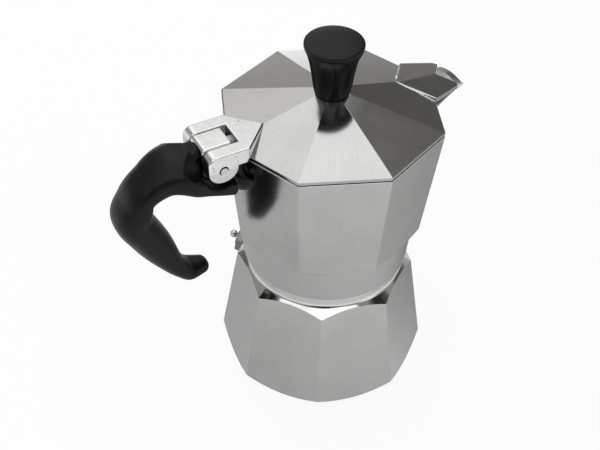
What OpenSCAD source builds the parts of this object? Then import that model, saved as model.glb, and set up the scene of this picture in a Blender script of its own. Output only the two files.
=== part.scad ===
// Three-cup stovetop moka pot: an eight-sided boiler and collector screwed together,
// with the funnel, seal and filter between them, and a hinged lid.
// Millimetres. +Z is up, the origin is the centre of the base, the spout points along +X.

/* [Boiler] */
// Corner radius of the eight-sided base
base_r = 45.25; // [42:0.25:48]
// Corner radius where the flat sides end at the shoulder
shoulder_r = 38; // [36.5:0.25:40]
// Height of those upper corners
shoulder_z = 48; // [46.5:0.25:48.5]
// Height of the rounded lower edge
foot_h = 3.2; // [1.5:0.1:4.5]
// Radius of the round neck under the collector
neck_r = 33; // [32.75:0.05:33.5]
// Height of the boiler's lip, where the funnel rests
lip_z = 66.5; // [66:0.1:66.7]
// Radius of the boiler's mouth
mouth_r = 28.3; // [28.2:0.1:29]
// Turn of the boiler's corners from the collector's, as it happens to be screwed on
boiler_twist = 14; // [0:1:44]
// Thickness of the boiler's floor
floor_t = 3.2; // [2:0.1:4]

/* [Collector] */
// Corner radius of the collector's rim
rim_r = 45.36; // [44.5:0.02:46]
// Height of the collector's rim
rim_z = 126.2; // [125.8:0.1:126.4]
// Corner radius where the corners are cut off above the round skirt
cut_r = 39.75; // [39:0.05:40.5]
// Height of those lower corners
cut_z = 76.2; // [75.5:0.1:77]
// Lower edge of the round skirt
skirt_z = 57.6; // [57.4:0.1:58.2]
// Radius of the skirt's lower edge
skirt_r = 35.2; // [34.6:0.1:36]
// Thickness of the collector's walls at the corners
wall_t = 2.8; // [2.2:0.1:3.2]
// Top of the coffee column
column_z = 113; // [105:0.5:118]

/* [Spout] */
// Reach of the spout's tip from the axis
tip_x = 63.7; // [60:0.1:66]
// Height of the spout's tip
tip_z = 120.3; // [118:0.1:121]
// Place along the spout where the lid's hood ends
hood_end_x = 54; // [52:0.5:56]
// Half width of the spout there
hood_end_w = 6.5; // [5.5:0.1:7.5]
// Thickness of the spout's walls
spout_t = 1.7; // [1.4:0.1:2.2]

/* [Lid] */
// Height of the lid's peak, if its eight sides ran to a point
peak_z = 139.5; // [138:0.1:141]
// Upper edge of the lid's rim
lid_edge_z = 128.1; // [127.8:0.1:128.6]
// Gap between the lid and the collector's rim
lid_gap = 0.35; // [0.2:0.05:0.6]
// Thickness of the lid's shell
lid_t = 1.7; // [1.4:0.1:2.2]

/* [Hinge] */
// Distance of the hinge pin behind the axis
pin_x = 51.84; // [51.4:0.02:52.2]
// Height of the hinge pin
pin_z = 126.14; // [125.9:0.02:126.4]
// Radius of the hinge pin
pin_r = 1.5; // [1.2:0.1:1.7]
// Radius of the lid's rounded ears
ear_r = 6.2; // [5.6:0.1:6.3]
// Half width of the hinge over both ears
ear_w = 11.9; // [11.4:0.1:12.1]
// Half width of the slot between the ears
slot_w = 5.6; // [5.5:0.05:5.8]
// Half width of the collector's lug in that slot
lug_w = 5; // [4.6:0.05:5.1]
// Flat top of the hinge
hinge_top_z = 132.8; // [132.4:0.1:133]

/* [Handle] */
// Half width of the handle's fork
fork_w = 13; // [12.6:0.1:13.4]
// Half width of the grip
grip_w = 10; // [9:0.1:11]
// Fraction of the drawn thickness that the grip has
grip_fat = 1; // [0.92:0.01:1.05]

/* [Knob] */
// Top of the knob
knob_z = 161; // [158:0.1:162]
// Radius of the knob's top edge
knob_r = 11.6; // [10.8:0.1:12.4]
// Radius of the knob's foot
knob_foot_r = 7; // [6.4:0.1:7.4]
// Number of hollows around the knob's side
knob_flutes = 8; // [6:1:10]

/* [Filter] */
// Radius of the funnel's rim
funnel_rim_r = 31; // [30.5:0.1:31.2]
// Depth of the coffee basket
basket_h = 19.5; // [18:0.5:20]
// Height of the open lower end of the funnel's stem
stem_z = 6.6; // [6:0.1:9]
// Outer radius of the seal
seal_r = 31.6; // [31.3:0.1:31.7]
// Inner radius of the seal
seal_bore_r = 26; // [25.5:0.1:26.5]
// Thickness of the seal when clamped
seal_t = 3.4; // [3.3:0.05:3.45]
// Radius of the filter plate
plate_r = 27.9; // [27.4:0.1:28]

/* [Valve] */
// Height of the safety valve on the boiler
valve_z = 41.9; // [40:0.1:42.5]
// Width across the flats of the valve's nut
valve_af = 11; // [10:0.5:12]
// Radius of the valve's stem
stem_r = 0.85; // [0.7:0.05:1]
// Reach of the middle of the stem's head from the boiler's side
stem_head = 8.4; // [7.5:0.1:9.5]

/* [Hidden] */
$fn = 96;

big = 200;
eps = 0.01;
press = 0.02;                       // radial room of parts that are pressed together
flat = cos(22.5);                   // ratio of an octagon's flat distance to its corner radius

// Boiler: the corner radius falls evenly with height, and a 37-degree cone cuts the corners.
boiler_slope = (base_r - shoulder_r) / (shoulder_z - foot_h);
shoulder_rise = 0.75;               // height of the turned shoulder's cone for each unit of radius
foot_in = 3.35;                     // how far in from the corners the foot's turned edge starts
fillet_w = 1.2;                     // width of the curve from the shoulder up into the neck
neck_top_z = skirt_z - 0.6;
boiler_thread_r = 32;
lip_chamfer = 0.8;
neck_z = shoulder_z + (shoulder_r - neck_r - fillet_w) * shoulder_rise;
boiler_in_r = 38.3;                 // inside radius near the floor
boiler_in_top_r = 31.8;             // inside radius where the shoulder begins
wide = 60;                          // beyond every radius of the pot
function boiler_r(z) = base_r - boiler_slope * (z - foot_h);

// Collector
collector_slope = (rim_r - cut_r) / (rim_z - cut_z);
function collector_r(z) = cut_r + collector_slope * (z - cut_z);
skirt_top_z = cut_z - 2.4;          // middle of each flat side's curved lower edge
skirt_top_r = collector_r(skirt_top_z) * flat - 0.02;
cut_rise = (cut_z - skirt_top_z) / (cut_r - skirt_top_r);
thread_bore_r = boiler_thread_r + 0.35;

// Filter stack, from the boiler's lip upwards
stack_gap = 0.05;
flange_t = 0.8;
seal_z = lip_z + flange_t + stack_gap;
plate_z = seal_z + seal_t + stack_gap;
plate_t = 0.8;
seat_z = seal_z + seal_t + 0.1;
seal_room_r = seal_r + 0.3;
plate_room_r = plate_r + 0.4;
plate_room_z = plate_z + plate_t + 0.7;
chamber_z = 78;                     // floor of the coffee chamber
column_r = 6.2;
column_bore_r = 3.6;
column_foot_z = plate_room_z + 2.4;
outlet_r = 1.5;

// Funnel
basket_r = mouth_r - 0.4;
sheet_t = 0.6;
basket_z = lip_z + flange_t - basket_h;
cone_z = basket_z - 6.5;            // lower end of the cone under the basket
collar_h = 5;                       // collar that the stem is pressed into
stem_out_r = 5;
stem_bore_r = 4.2;
hole_r = 0.7;
hole_pitch = 5;

// Lid
lid_z = rim_z + lid_gap;
lid_slope = (peak_z - lid_edge_z) / rim_r;
lid_flat_r = 6.5;                   // corner radius of the small flat under the knob
lid_top_z = peak_z - lid_slope * lid_flat_r;
lid_in_r = rim_r - 2.4;             // inside corner radius at the lid's lower edge
knob_seat_z = lid_top_z + 0.1;
insert_r = 3;
insert_h = 8.6;
knob_screw_r = 2;
washer_h = 0.65;
washer_top_z = lid_top_z - lid_t - 0.05;

// Hinge and handle
lug_back = 6;                       // reach of the lug behind the pin
lug_front = 6.2;                    // reach of the lug in front of the pin
lug_z = 118.5;                      // underside of the lug
plate_x = -41.4;                    // where the hinge's flat plate has its full width
ear_room = 2.1;                     // room round the turning ears, whose upper corner sweeps widest
lid_turn = 116;                     // how far back the ears have room to turn
screw_r = 1.6;
screw_head_z = 113.2;               // seat of the screw's head inside the handle
screw_head_r = 3;
screw_head_h = 1.8;

// Valve: its own frame has Z along the valve's axis, from the boiler's flat side outwards.
valve_az = 112.5 + boiler_twist;    // the middle of one of the two sides at the rear
valve_tilt = atan(boiler_slope * flat);
valve_d = boiler_r(valve_z) * flat;
boss_h = 1.2;
boss_r = 6.8;
washer_t = 0.6;
nut_h = 3.2;
nut_z = boss_h + washer_t;
nut_cap_h = 0.9;
shank_r = 3;
spring_room_r = 2.1;
seat_in = -6;                       // inner end of the valve
seat_t = 1.5;
poppet_z = -4.4;
poppet_t = 0.8;

module octagon(h, r1, r2) {
    cylinder(h = h, r1 = r1, r2 = r2, $fn = 8);
}

module turned(points) {
    rotate_extrude() polygon(points);
}

module side_on(half_w) {
    // A side view drawn in X and Z, made solid to both sides of the middle plane.
    rotate([90, 0, 0]) linear_extrude(height = 2 * half_w, center = true) children();
}

module at_valve() {
    rotate([0, 0, valve_az]) translate([valve_d, 0, valve_z])
        rotate([0, 90 - valve_tilt, 0]) children();
}

// Centres of a triangular grid of holes inside radius r.
function hole_grid(r, pitch) = [
    let (n = ceil(r / pitch) + 1)
    for (j = [-n : n], i = [-n : n])
        let (p = [(i + abs(j % 2) / 2) * pitch, j * pitch * sqrt(3) / 2])
        if (norm(p) <= r) p
];

// Rings of points, each joined to the next, and closed at both ends.
module skin(rings) {
    n = len(rings[0]);
    last = len(rings) - 1;
    polyhedron(
        points = [for (ring = rings) each ring],
        faces = concat(
            [[for (i = [n - 1 : -1 : 0]) i]],
            [for (k = [0 : last - 1], i = [0 : n - 1]) each [
                [k * n + i, k * n + (i + 1) % n, (k + 1) * n + i],
                [k * n + (i + 1) % n, (k + 1) * n + (i + 1) % n, (k + 1) * n + i]]],
            [[for (i = [0 : n - 1]) last * n + i]]));
}

module boiler() {
    color([0.72, 0.72, 0.71]) difference() {
        union() {
            intersection() {
                rotate([0, 0, boiler_twist]) octagon(neck_z, boiler_r(0), boiler_r(neck_z));
                turned([[0, 0], [base_r - foot_in, 0], [wide, wide - base_r + foot_in], [wide, shoulder_z - (wide - shoulder_r) * shoulder_rise],
                    [neck_r + fillet_w, neck_z], [0, neck_z]]);
            }
            turned([[0, neck_z - 8], [neck_r - 1, neck_z - 8], [neck_r + fillet_w, neck_z],
                [neck_r + 0.35, neck_z + 0.9], [neck_r, neck_z + 2.2], [neck_r, neck_top_z],
                [boiler_thread_r, neck_top_z], [boiler_thread_r, lip_z - lip_chamfer],
                [boiler_thread_r - lip_chamfer, lip_z], [0, lip_z]]);
            at_valve() translate([0, 0, -1]) cylinder(h = 1 + boss_h, r = boss_r);
        }
        turned([[0, floor_t], [boiler_in_r - 3.3, floor_t], [boiler_in_r - 0.3, floor_t + 1.2],
            [boiler_in_r, floor_t + 3], [boiler_in_top_r, shoulder_z - 2],
            [mouth_r, shoulder_z + 4.5], [mouth_r, big], [0, big]]);
        at_valve() translate([0, 0, 2 * seat_in]) cylinder(h = 5 * shank_r - 2 * seat_in, r = shank_r + press);
    }
}

module valve_body() {
    color([0.66, 0.62, 0.54]) at_valve() difference() {
        union() {
            translate([0, 0, seat_in]) cylinder(h = nut_z + eps - seat_in, r = shank_r);
            translate([0, 0, nut_z]) cylinder(h = nut_h, r = valve_af / 2 / cos(30), $fn = 6);
            translate([0, 0, nut_z + nut_h - eps]) cylinder(h = nut_cap_h, r1 = 4.6, r2 = 3.9);
        }
        translate([0, 0, seat_in - 1]) cylinder(h = spring_top - seat_in + 1, r = spring_room_r);
        cylinder(h = big, r = stem_r + 0.06);
    }
}

module valve_washer() {
    color([0.45, 0.33, 0.24]) at_valve() translate([0, 0, boss_h]) difference() {
        cylinder(h = washer_t, r = 6.4);
        translate([0, 0, -1]) cylinder(h = big, r = shank_r + press);
    }
}

module valve_seat() {
    color([0.7, 0.58, 0.32]) at_valve() translate([0, 0, seat_in]) difference() {
        cylinder(h = seat_t, r = spring_room_r - press);
        translate([0, 0, -1]) cylinder(h = big, r = 1.1);
    }
}

module valve_stem() {
    color([0.5, 0.48, 0.45]) at_valve() union() {
        translate([0, 0, poppet_z]) cylinder(h = poppet_t, r = spring_room_r - 0.2);
        translate([0, 0, poppet_z]) cylinder(h = stem_head - poppet_z, r = stem_r);
        translate([0, 0, stem_head]) sphere(r = 1.75);
    }
}

spring_turns = 6;
spring_wire_r = 0.28;
spring_r = 1.45;
spring_top = nut_z + nut_h - 1.6;   // inner end of the spring's room
spring_low = poppet_z + poppet_t + spring_wire_r + 0.05;
spring_high = spring_top - spring_wire_r - 0.05;
spring_steps = 14;
module valve_spring() {
    color([0.6, 0.6, 0.6]) at_valve() skin([
        for (k = [0 : spring_turns * spring_steps])
            let (a = 360 * k / spring_steps,
                z = spring_low + (spring_high - spring_low) * k / (spring_turns * spring_steps))
            [for (i = [0 : 7]) let (r = spring_r + spring_wire_r * cos(45 * i))
                [r * cos(a), r * sin(a), z + spring_wire_r * sin(45 * i)]]]);
}

module funnel_basket() {
    color([0.75, 0.75, 0.74]) turned([
        [basket_r - sheet_t, lip_z + flange_t], [basket_r - sheet_t, basket_z],
        [stem_out_r + press, cone_z], [stem_out_r + press, cone_z - collar_h],
        [stem_out_r + sheet_t, cone_z - collar_h], [stem_out_r + sheet_t, cone_z - 0.3],
        [basket_r - 0.2, basket_z - 0.4], [basket_r, basket_z + 1], [basket_r, lip_z + 0.04],
        [funnel_rim_r, lip_z + 0.04], [funnel_rim_r, lip_z + flange_t]]);
}

module funnel_stem() {
    color([0.72, 0.72, 0.71]) difference() {
        translate([0, 0, stem_z]) cylinder(h = cone_z - 0.5 - stem_z, r = stem_out_r);
        translate([0, 0, stem_z - 1]) cylinder(h = big, r = stem_bore_r);
        // A notch lets water in even if the stem stands on the floor.
        translate([0, 0, stem_z]) rotate([90, 0, 0]) cylinder(h = 4 * stem_out_r, r = 1.5, center = true);
    }
}

module funnel_strainer() {
    color([0.7, 0.7, 0.69]) translate([0, 0, basket_z + 0.1]) difference() {
        cylinder(h = sheet_t, r = basket_r - sheet_t - press);
        for (p = hole_grid(basket_r - 5, hole_pitch)) translate([p.x, p.y, -1])
            cylinder(h = 3, r = hole_r, $fn = 16);
    }
}

module gasket() {
    color([0.85, 0.83, 0.76]) translate([0, 0, seal_z]) turned([
        [seal_bore_r, 0.3], [seal_bore_r + 0.3, 0], [seal_r - 0.3, 0], [seal_r, 0.3],
        [seal_r, seal_t - 0.3], [seal_r - 0.3, seal_t],
        [seal_bore_r + 0.3, seal_t], [seal_bore_r, seal_t - 0.3]]);
}

module filter_plate() {
    color([0.78, 0.78, 0.77]) translate([0, 0, plate_z]) difference() {
        union() {
            cylinder(h = plate_t, r = plate_r);
            translate([0, 0, plate_t - eps]) difference() {
                cylinder(h = plate_t / 2, r = plate_r);
                translate([0, 0, -1]) cylinder(h = 3, r = plate_r - 1.2);
            }
        }
        for (p = hole_grid(plate_r - 4.5, hole_pitch - 0.6)) translate([p.x, p.y, -1])
            cylinder(h = 3, r = hole_r - 0.1, $fn = 16);
    }
}

// Spout: its sections narrow to the tip, the rim falls past the hood and the keel curves down to the wall.
function past_hood(x) = max(0, (x - hood_end_x) / (tip_x - hood_end_x));
spout_steps = 14;
spout_root_x = 39;
spout_flare = 0.49;                 // half width gained for each unit back from the hood's end
spout_tip_w = 0.8;
spout_tip_h = 1.2;
keel_slope = 0.62;
keel_curve = 0.0105;
function spout_w(x) = x < hood_end_x
    ? hood_end_w + spout_flare * (hood_end_x - x)
    : hood_end_w * (1 - pow(past_hood(x), 1.7)) + spout_tip_w * past_hood(x);
function spout_rim(x) = rim_z - (rim_z - tip_z - spout_tip_h) * pow(past_hood(x), 1.3);
function spout_keel(x) = tip_z - keel_slope * (tip_x - x) - keel_curve * pow(tip_x - x, 2);
function spout_side(x, w, top, h) = [[x, w, top], [x, w * 0.9, top - h * 0.3],
    [x, w * 0.55, top - h * 0.72]];
function spout_ring(x, w, top, low) = let (keel_w = min(w, 1.2) / 2, near = spout_side(x, -w, top, top - low))
    concat(spout_side(x, w, top, top - low), [[x, keel_w, low], [x, -keel_w, low]],
        [near[2], near[1], near[0]]);

module spout_outside() {
    skin([for (k = [0 : spout_steps])
        let (x = spout_root_x + (tip_x - spout_root_x) * k / spout_steps)
        spout_ring(x, spout_w(x), spout_rim(x), spout_keel(x))]);
}

module spout_channel() {
    skin([for (k = [-1 : spout_steps + 1])
        let (x = spout_root_x + (tip_x - spout_root_x) * k / spout_steps,
            x_in = min(x, tip_x), w = max(0.35, spout_w(x_in) - spout_t),
            low = spout_keel(x_in) + spout_t * 0.75,
            ring = spout_ring(x, w, max(spout_rim(x_in), low + 0.2), low))
        concat([[x, w, rim_z + 5]], ring, [[x, -w, rim_z + 5]])]);
}

// The block that carries the hinge pin, with rounded upper corners, and its root on the wall.
module lug() {
    round_r = 1.6;
    side_on(lug_w) union() {
        difference() {
            translate([-pin_x - lug_back, lug_z]) square([lug_back + lug_front, hinge_top_z - lug_z]);
            for (side = [-1, 1]) translate([-pin_x + (side < 0 ? -lug_back : lug_front), hinge_top_z])
                difference() {
                    square(2 * round_r, center = true);
                    translate([-side * round_r, -round_r]) circle(r = round_r);
                }
        }
        polygon([[-pin_x - lug_back, lug_z], [-42, lug_z - 6.6], [-42, pin_z - 1.6], [-pin_x, pin_z - 1.6]]);
    }
}

module collector() {
    color([0.72, 0.72, 0.71]) difference() {
        union() {
            intersection() {
                translate([0, 0, skirt_top_z - 1])
                    octagon(rim_z - skirt_top_z + 1, collector_r(skirt_top_z - 1), rim_r);
                turned([[0, skirt_top_z - 1], [skirt_top_r, skirt_top_z - 1], [skirt_top_r, skirt_top_z],
                    [wide, skirt_top_z + (wide - skirt_top_r) * cut_rise], [wide, big], [0, big]]);
            }
            turned([[0, skirt_z], [skirt_r - 0.5, skirt_z], [skirt_r, skirt_z + 0.6],
                [skirt_top_r, skirt_top_z], [0, skirt_top_z]]);
            spout_outside();
            lug();
        }
        // The coffee chamber
        intersection() {
            translate([0, 0, chamber_z - 1]) octagon(rim_z - chamber_z + 6,
                collector_r(chamber_z - 1) - wall_t, collector_r(rim_z + 5) - wall_t);
            turned([[0, chamber_z + 1], [column_r + 2.8, chamber_z], [29, chamber_z],
                [34, chamber_z + 3.5], [wide, chamber_z + 22], [wide, big], [0, big]]);
        }
        spout_channel();
        // Socket for the boiler's neck, the seal, the filter plate and the room above it
        turned([[0, 0], [thread_bore_r, 0], [thread_bore_r, seal_z], [seal_room_r, seal_z + 0.4],
            [seal_room_r, seat_z], [plate_room_r, seat_z], [plate_room_r, plate_room_z],
            [column_bore_r + 0.4, column_foot_z], [0, column_foot_z]]);
        cylinder(h = big, r = column_r + press);
        translate([-pin_x, 0, pin_z]) rotate([90, 0, 0])
            cylinder(h = 4 * lug_w, r = pin_r + press, center = true);
        translate([-pin_x, 0, screw_head_z]) cylinder(h = 9.8, r = screw_r + press);
    }
}

module column() {
    color([0.74, 0.74, 0.73]) difference() {
        turned([[0, column_foot_z], [column_r, column_foot_z], [column_r, chamber_z + 3],
            [column_r - 1.2, column_z - 2.5], [column_r - 2.2, column_z - 0.6],
            [column_r - 4, column_z], [0, column_z]]);
        turned([[0, 0], [column_bore_r, 0], [column_bore_r, column_z - 4.2], [0, column_z - 2.8]]);
        // Two upright slots under the closed top let the coffee out.
        for (a = [90, 270]) rotate([0, 0, a]) translate([0, 0, column_z - 7.5]) rotate([0, 90, 0]) {
            cylinder(h = 20, r = outlet_r);
            translate([-2 * outlet_r, 0, 0]) cylinder(h = 20, r = outlet_r);
            translate([-2 * outlet_r, -outlet_r, 0]) cube([2 * outlet_r, 2 * outlet_r, 20]);
        }
    }
}

// Grip: [x, z, half thickness, half width] along its middle line, from the fork to the tip of the hook.
GRIP = [[-63, 123.4, 7.6, 12.8], [-70.5, 123.6, 6.8, 11.6], [-78.4, 120.2, 6.9, 10.6], [-84, 114, 7.2, 10.2],
    [-85.6, 107, 7.3, 10], [-82.6, 99, 7.2, 9.8], [-77, 89.6, 6.4, 9.2], [-71.4, 80.4, 5.2, 8.2],
    [-67.4, 74.4, 4.5, 7.2], [-62.8, 71.2, 4.3, 6.4], [-58.8, 70.8, 3.8, 5.6], [-56.8, 70.9, 2, 3]];
grip_last = len(GRIP) - 1;
grip_sub = 3;
function grip_at(i) = GRIP[max(0, min(grip_last, i))];
function grip_point(s) =
    let (i = min(grip_last - 1, floor(s)), t = s - i,
        a = grip_at(i - 1), b = grip_at(i), c = grip_at(i + 1), d = grip_at(i + 2))
    b + t / 2 * (c - a + t * (2 * a - 5 * b + 4 * c - d + t * (3 * (b - c) + d - a)));
function grip_dir(s) = let (d = grip_point(min(grip_last, s + 0.05)) - grip_point(max(0, s - 0.05)))
    [d[0], d[1]] / norm([d[0], d[1]]);
grip_sides = 20;
module grip() {
    skin([for (k = [0 : grip_last * grip_sub])
        let (s = k / grip_sub, p = grip_point(s), d = grip_dir(s), w = p[3] * (s < 2 ? 1 : grip_w / 10))
        [for (i = [0 : grip_sides - 1])
            let (a = 360 * i / grip_sides,
                u = sign(cos(a)) * pow(abs(cos(a)), 0.8) * p[2] * grip_fat,
                v = sign(sin(a)) * pow(abs(sin(a)), 0.8) * w)
            [p[0] + d[1] * u, -v, p[1] - d[0] * u]]]);
}

saddle_t = 2.9;
saddle_z = 104;
saddle_h = 20.3;
saddle_round_r = 12.6;
fork_top_z = 130.3;
fork_back_x = -66;
module handle() {
    slot_x = -pin_x - lug_back - 0.3;
    color([0.05, 0.05, 0.05]) difference() {
        union() {
            grip();
            // The fork's two arms, and the block behind the hinge
            side_on(fork_w) polygon([[fork_back_x, fork_top_z], [slot_x + 0.5, fork_top_z],
                [slot_x + 0.5, 121.4], [-44.6, 113.5], [-44.6, 108.8], [-57, 113], [fork_back_x, 117]]);
            // The saddle that hugs the collector's corner
            intersection() {
                translate([0, 0, saddle_z]) octagon(saddle_h,
                    collector_r(saddle_z) + saddle_t, collector_r(saddle_z + saddle_h) + saddle_t);
                translate([-wide, 0, 117.5]) rotate([0, 90, 0]) cylinder(h = 25, r = saddle_round_r);
            }
        }
        // Room for the collector's wall, the lug and the lid's turning ears
        translate([0, 0, saddle_z - 5]) octagon(32, collector_r(saddle_z - 5) + 0.15,
            collector_r(saddle_z + 27) + 0.15);
        side_on(lug_w + 0.2) polygon([[slot_x, 150], [slot_x, lug_z - 0.2], [-38, lug_z - 9], [-38, 150]]);
        for (side = [-1, 1]) translate([-pin_x, side * (lug_w + 9.6), pin_z]) {
            rotate([90, 0, 0]) cylinder(h = 20, r = ear_r + ear_room, center = true);
            rotate([0, -lid_turn, 0]) translate([1, -10, -4])
                cube([40, 20, 4 + hinge_top_z - pin_z + 0.9]);
        }
        translate([-pin_x, 0, 90]) cylinder(h = 40, r = screw_r + 0.15);
        translate([-pin_x, 0, 90]) cylinder(h = screw_head_z - 90, r = screw_head_r + 0.3);
    }
}

module handle_screw() {
    color([0.62, 0.62, 0.62]) translate([-pin_x, 0, screw_head_z]) difference() {
        union() {
            translate([0, 0, -screw_head_h])
                cylinder(h = screw_head_h, r1 = screw_head_r - 0.5, r2 = screw_head_r);
            translate([0, 0, -eps]) cylinder(h = 9, r = screw_r);
        }
        for (a = [0, 90]) rotate([0, 0, a]) translate([-1.6, -0.35, -1 - screw_head_h]) cube([3.2, 0.7, 2]);
    }
}

module hinge_pin() {
    color([0.66, 0.66, 0.65]) translate([-pin_x, 0, pin_z]) rotate([90, 0, 0])
        cylinder(h = 2 * ear_w + 0.3, r = pin_r, center = true);
}

// A low gable from the lid down to the spout's rims, a little smaller for its own hollow.
module hood(inset) {
    hull() {
        translate([29 + 3 * inset, 0, 132.3 - inset]) cube(eps);
        translate([hood_end_x, 0, 129.1 - inset]) cube(eps);
        for (side = [-1, 1]) {
            translate([41, side * (12.75 - inset), 129.1 - inset]) cube(eps);
            for (z = [lid_z - inset, lid_edge_z - 0.1 - inset]) {
                translate([40.3 + inset, side * (13.5 - inset), z]) cube(eps);
                translate([53.25 + 2 * inset, side * (8.9 - inset), z]) cube(eps);
                translate([hood_end_x + 0.3 + 2 * inset, side * (hood_end_w + 0.5 - inset),
                    min(z, 127.6 - inset)]) cube(eps);
            }
        }
    }
}

// Side outline of the lid's ears: round under the pin, flat on top with a rounded rear corner.
module ear_profile() {
    round_r = 3.7;
    translate([-pin_x, pin_z]) circle(r = ear_r);
    translate([-pin_x - ear_r, pin_z]) square([ear_r, hinge_top_z - pin_z - round_r]);
    translate([-pin_x - ear_r + round_r, pin_z]) square([ear_r + 4.1, hinge_top_z - pin_z]);
    translate([-pin_x - ear_r + round_r, hinge_top_z - round_r]) circle(r = round_r);
}

module lid() {
    slot_end_x = plate_x - 1.6;
    plate_tip_x = -29.5;
    plate_h = hinge_top_z - lid_z;
    color([0.74, 0.74, 0.73]) difference() {
        union() {
            difference() {
                union() {
                    translate([0, 0, lid_z]) octagon(lid_edge_z - lid_z, rim_r - 0.2, rim_r);
                    translate([0, 0, lid_edge_z]) octagon(lid_top_z - lid_edge_z, rim_r, lid_flat_r);
                    hood(0);
                    // The hinge's flat plate, running to a point towards the knob
                    translate([0, 0, lid_z]) linear_extrude(height = plate_h) polygon([[plate_tip_x, 0],
                        [plate_x, ear_w], [-44, ear_w], [-44, -ear_w], [plate_x, -ear_w]]);
                }
                translate([0, 0, lid_z - 1]) octagon(1 + eps, lid_in_r, lid_in_r);
                translate([0, 0, lid_z]) octagon(lid_top_z - lid_t - lid_z, lid_in_r, lid_flat_r - 0.7);
                hood(lid_t);
                // The gable's end is cut back to a V
                linear_extrude(height = big) polygon([[hood_end_x - 5.54, 0], [hood_end_x + 1, 7.85],
                    [wide + 10, 7.85], [wide + 10, -7.85], [hood_end_x + 1, -7.85]]);
            }
            // Solid root of the plate behind the shell, and the two ears
            translate([0, 0, lid_z]) linear_extrude(height = plate_h) polygon([[-36, 4], [plate_x, ear_w],
                [-46, ear_w], [-46, -ear_w], [plate_x, -ear_w], [-36, -4]]);
            side_on(ear_w) intersection() {
                ear_profile();
                translate([-pin_x - ear_r, 100]) square([ear_r + 9.6, 60]);
            }
        }
        translate([-wide - 12, -slot_w, 100]) cube([wide + 12 + slot_end_x, 2 * slot_w, 60]);
        translate([-pin_x, 0, pin_z]) rotate([90, 0, 0]) cylinder(h = 60, r = pin_r + 0.06, center = true);
        cylinder(h = big, r = knob_screw_r + 0.3);
    }
}

module knob() {
    color([0.05, 0.05, 0.05]) difference() {
        turned([[0, knob_seat_z], [knob_foot_r, knob_seat_z], [knob_foot_r + 0.5, knob_seat_z + 2],
            [knob_foot_r + 1.05, knob_seat_z + 6], [knob_foot_r + 1.65, knob_seat_z + 10],
            [knob_foot_r + 2.4, knob_seat_z + 14], [knob_r - 1.6, knob_z - 7], [knob_r - 0.95, knob_z - 5],
            [knob_r - 0.1, knob_z - 2.9], [knob_r, knob_z - 2.5], [knob_r - 0.2, knob_z - 1.6],
            [knob_r - 1.1, knob_z - 0.8], [knob_r - 2.8, knob_z - 0.35], [knob_r / 2, knob_z - 0.1],
            [0, knob_z]]);
        for (i = [0 : knob_flutes - 1]) rotate([0, 0, 360 * i / knob_flutes])
            translate([knob_foot_r + 2.5, 0, knob_seat_z + 3]) rotate([0, 13.7, 0])
                cylinder(h = 14.4, r1 = 2.9, r2 = 3.6);
        translate([0, 0, knob_seat_z - 1]) cylinder(h = insert_h + 1.4, r = insert_r + press);
        cylinder(h = knob_seat_z + 12, r = knob_screw_r + 0.1);
    }
}

module knob_insert() {
    color([0.75, 0.62, 0.35]) translate([0, 0, knob_seat_z + 0.2]) difference() {
        cylinder(h = insert_h, r = insert_r);
        translate([0, 0, -1]) cylinder(h = 20, r = knob_screw_r + press);
    }
}

module knob_screw() {
    head_h = 2.1;
    color([0.62, 0.62, 0.62]) translate([0, 0, washer_top_z - washer_h - 0.05]) difference() {
        union() {
            translate([0, 0, -head_h]) cylinder(h = head_h, r1 = 3, r2 = 3.6);
            translate([0, 0, -eps]) cylinder(h = knob_seat_z + 9 - washer_top_z, r = knob_screw_r);
        }
        translate([-3, -0.4, -head_h - 1]) cube([6, 0.8, 1.8]);
    }
}

module knob_washer() {
    color([0.68, 0.68, 0.67]) translate([0, 0, washer_top_z - washer_h]) difference() {
        cylinder(h = washer_h, r = 4.6);
        translate([0, 0, -1]) cylinder(h = 3, r = knob_screw_r + 0.2);
    }
}

boiler();
valve_body();
valve_washer();
valve_seat();
valve_stem();
valve_spring();
funnel_basket();
funnel_stem();
funnel_strainer();
gasket();
filter_plate();
collector();
column();
handle();
handle_screw();
hinge_pin();
lid();
knob();
knob_insert();
knob_screw();
knob_washer();
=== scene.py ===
"""Visual model of a three-cup moka pot, worked out round its packed construction frame.

Lengths are millimetres until a mesh is made, with +Z up and the spout towards +X.
"""

import logging
import math
from collections.abc import Callable
from dataclasses import dataclass, field
from enum import Enum

import bpy
import numpy as np
from mathutils import Matrix, Vector


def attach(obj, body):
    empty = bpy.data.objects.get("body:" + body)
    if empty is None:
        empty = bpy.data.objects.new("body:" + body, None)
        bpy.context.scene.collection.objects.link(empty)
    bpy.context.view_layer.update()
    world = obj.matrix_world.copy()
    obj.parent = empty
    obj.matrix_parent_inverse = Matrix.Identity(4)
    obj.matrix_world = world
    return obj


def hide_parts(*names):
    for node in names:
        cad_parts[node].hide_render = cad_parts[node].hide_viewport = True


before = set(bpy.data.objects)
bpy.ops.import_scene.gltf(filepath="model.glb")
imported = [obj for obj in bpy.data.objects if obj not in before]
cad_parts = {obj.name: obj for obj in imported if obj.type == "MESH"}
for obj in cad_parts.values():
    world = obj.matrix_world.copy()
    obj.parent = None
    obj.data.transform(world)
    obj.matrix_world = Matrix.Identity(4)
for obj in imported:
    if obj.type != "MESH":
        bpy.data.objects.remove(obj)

LOG = logging.getLogger("moka_pot")
MM = 0.001
HALF_SIDE = math.radians(22.5)
FLAT = math.cos(HALF_SIDE)
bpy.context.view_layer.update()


# ---------------------------------------------------------------- numbers and curves

def smooth_min(a: np.ndarray, b: np.ndarray, blend: float) -> np.ndarray:
    """The lesser of two fields, with a round blend that is `blend` wide where they meet."""
    h = np.maximum(blend - np.abs(a - b), 0.0) / blend
    return np.minimum(a, b) - h * h * blend / 4


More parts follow.
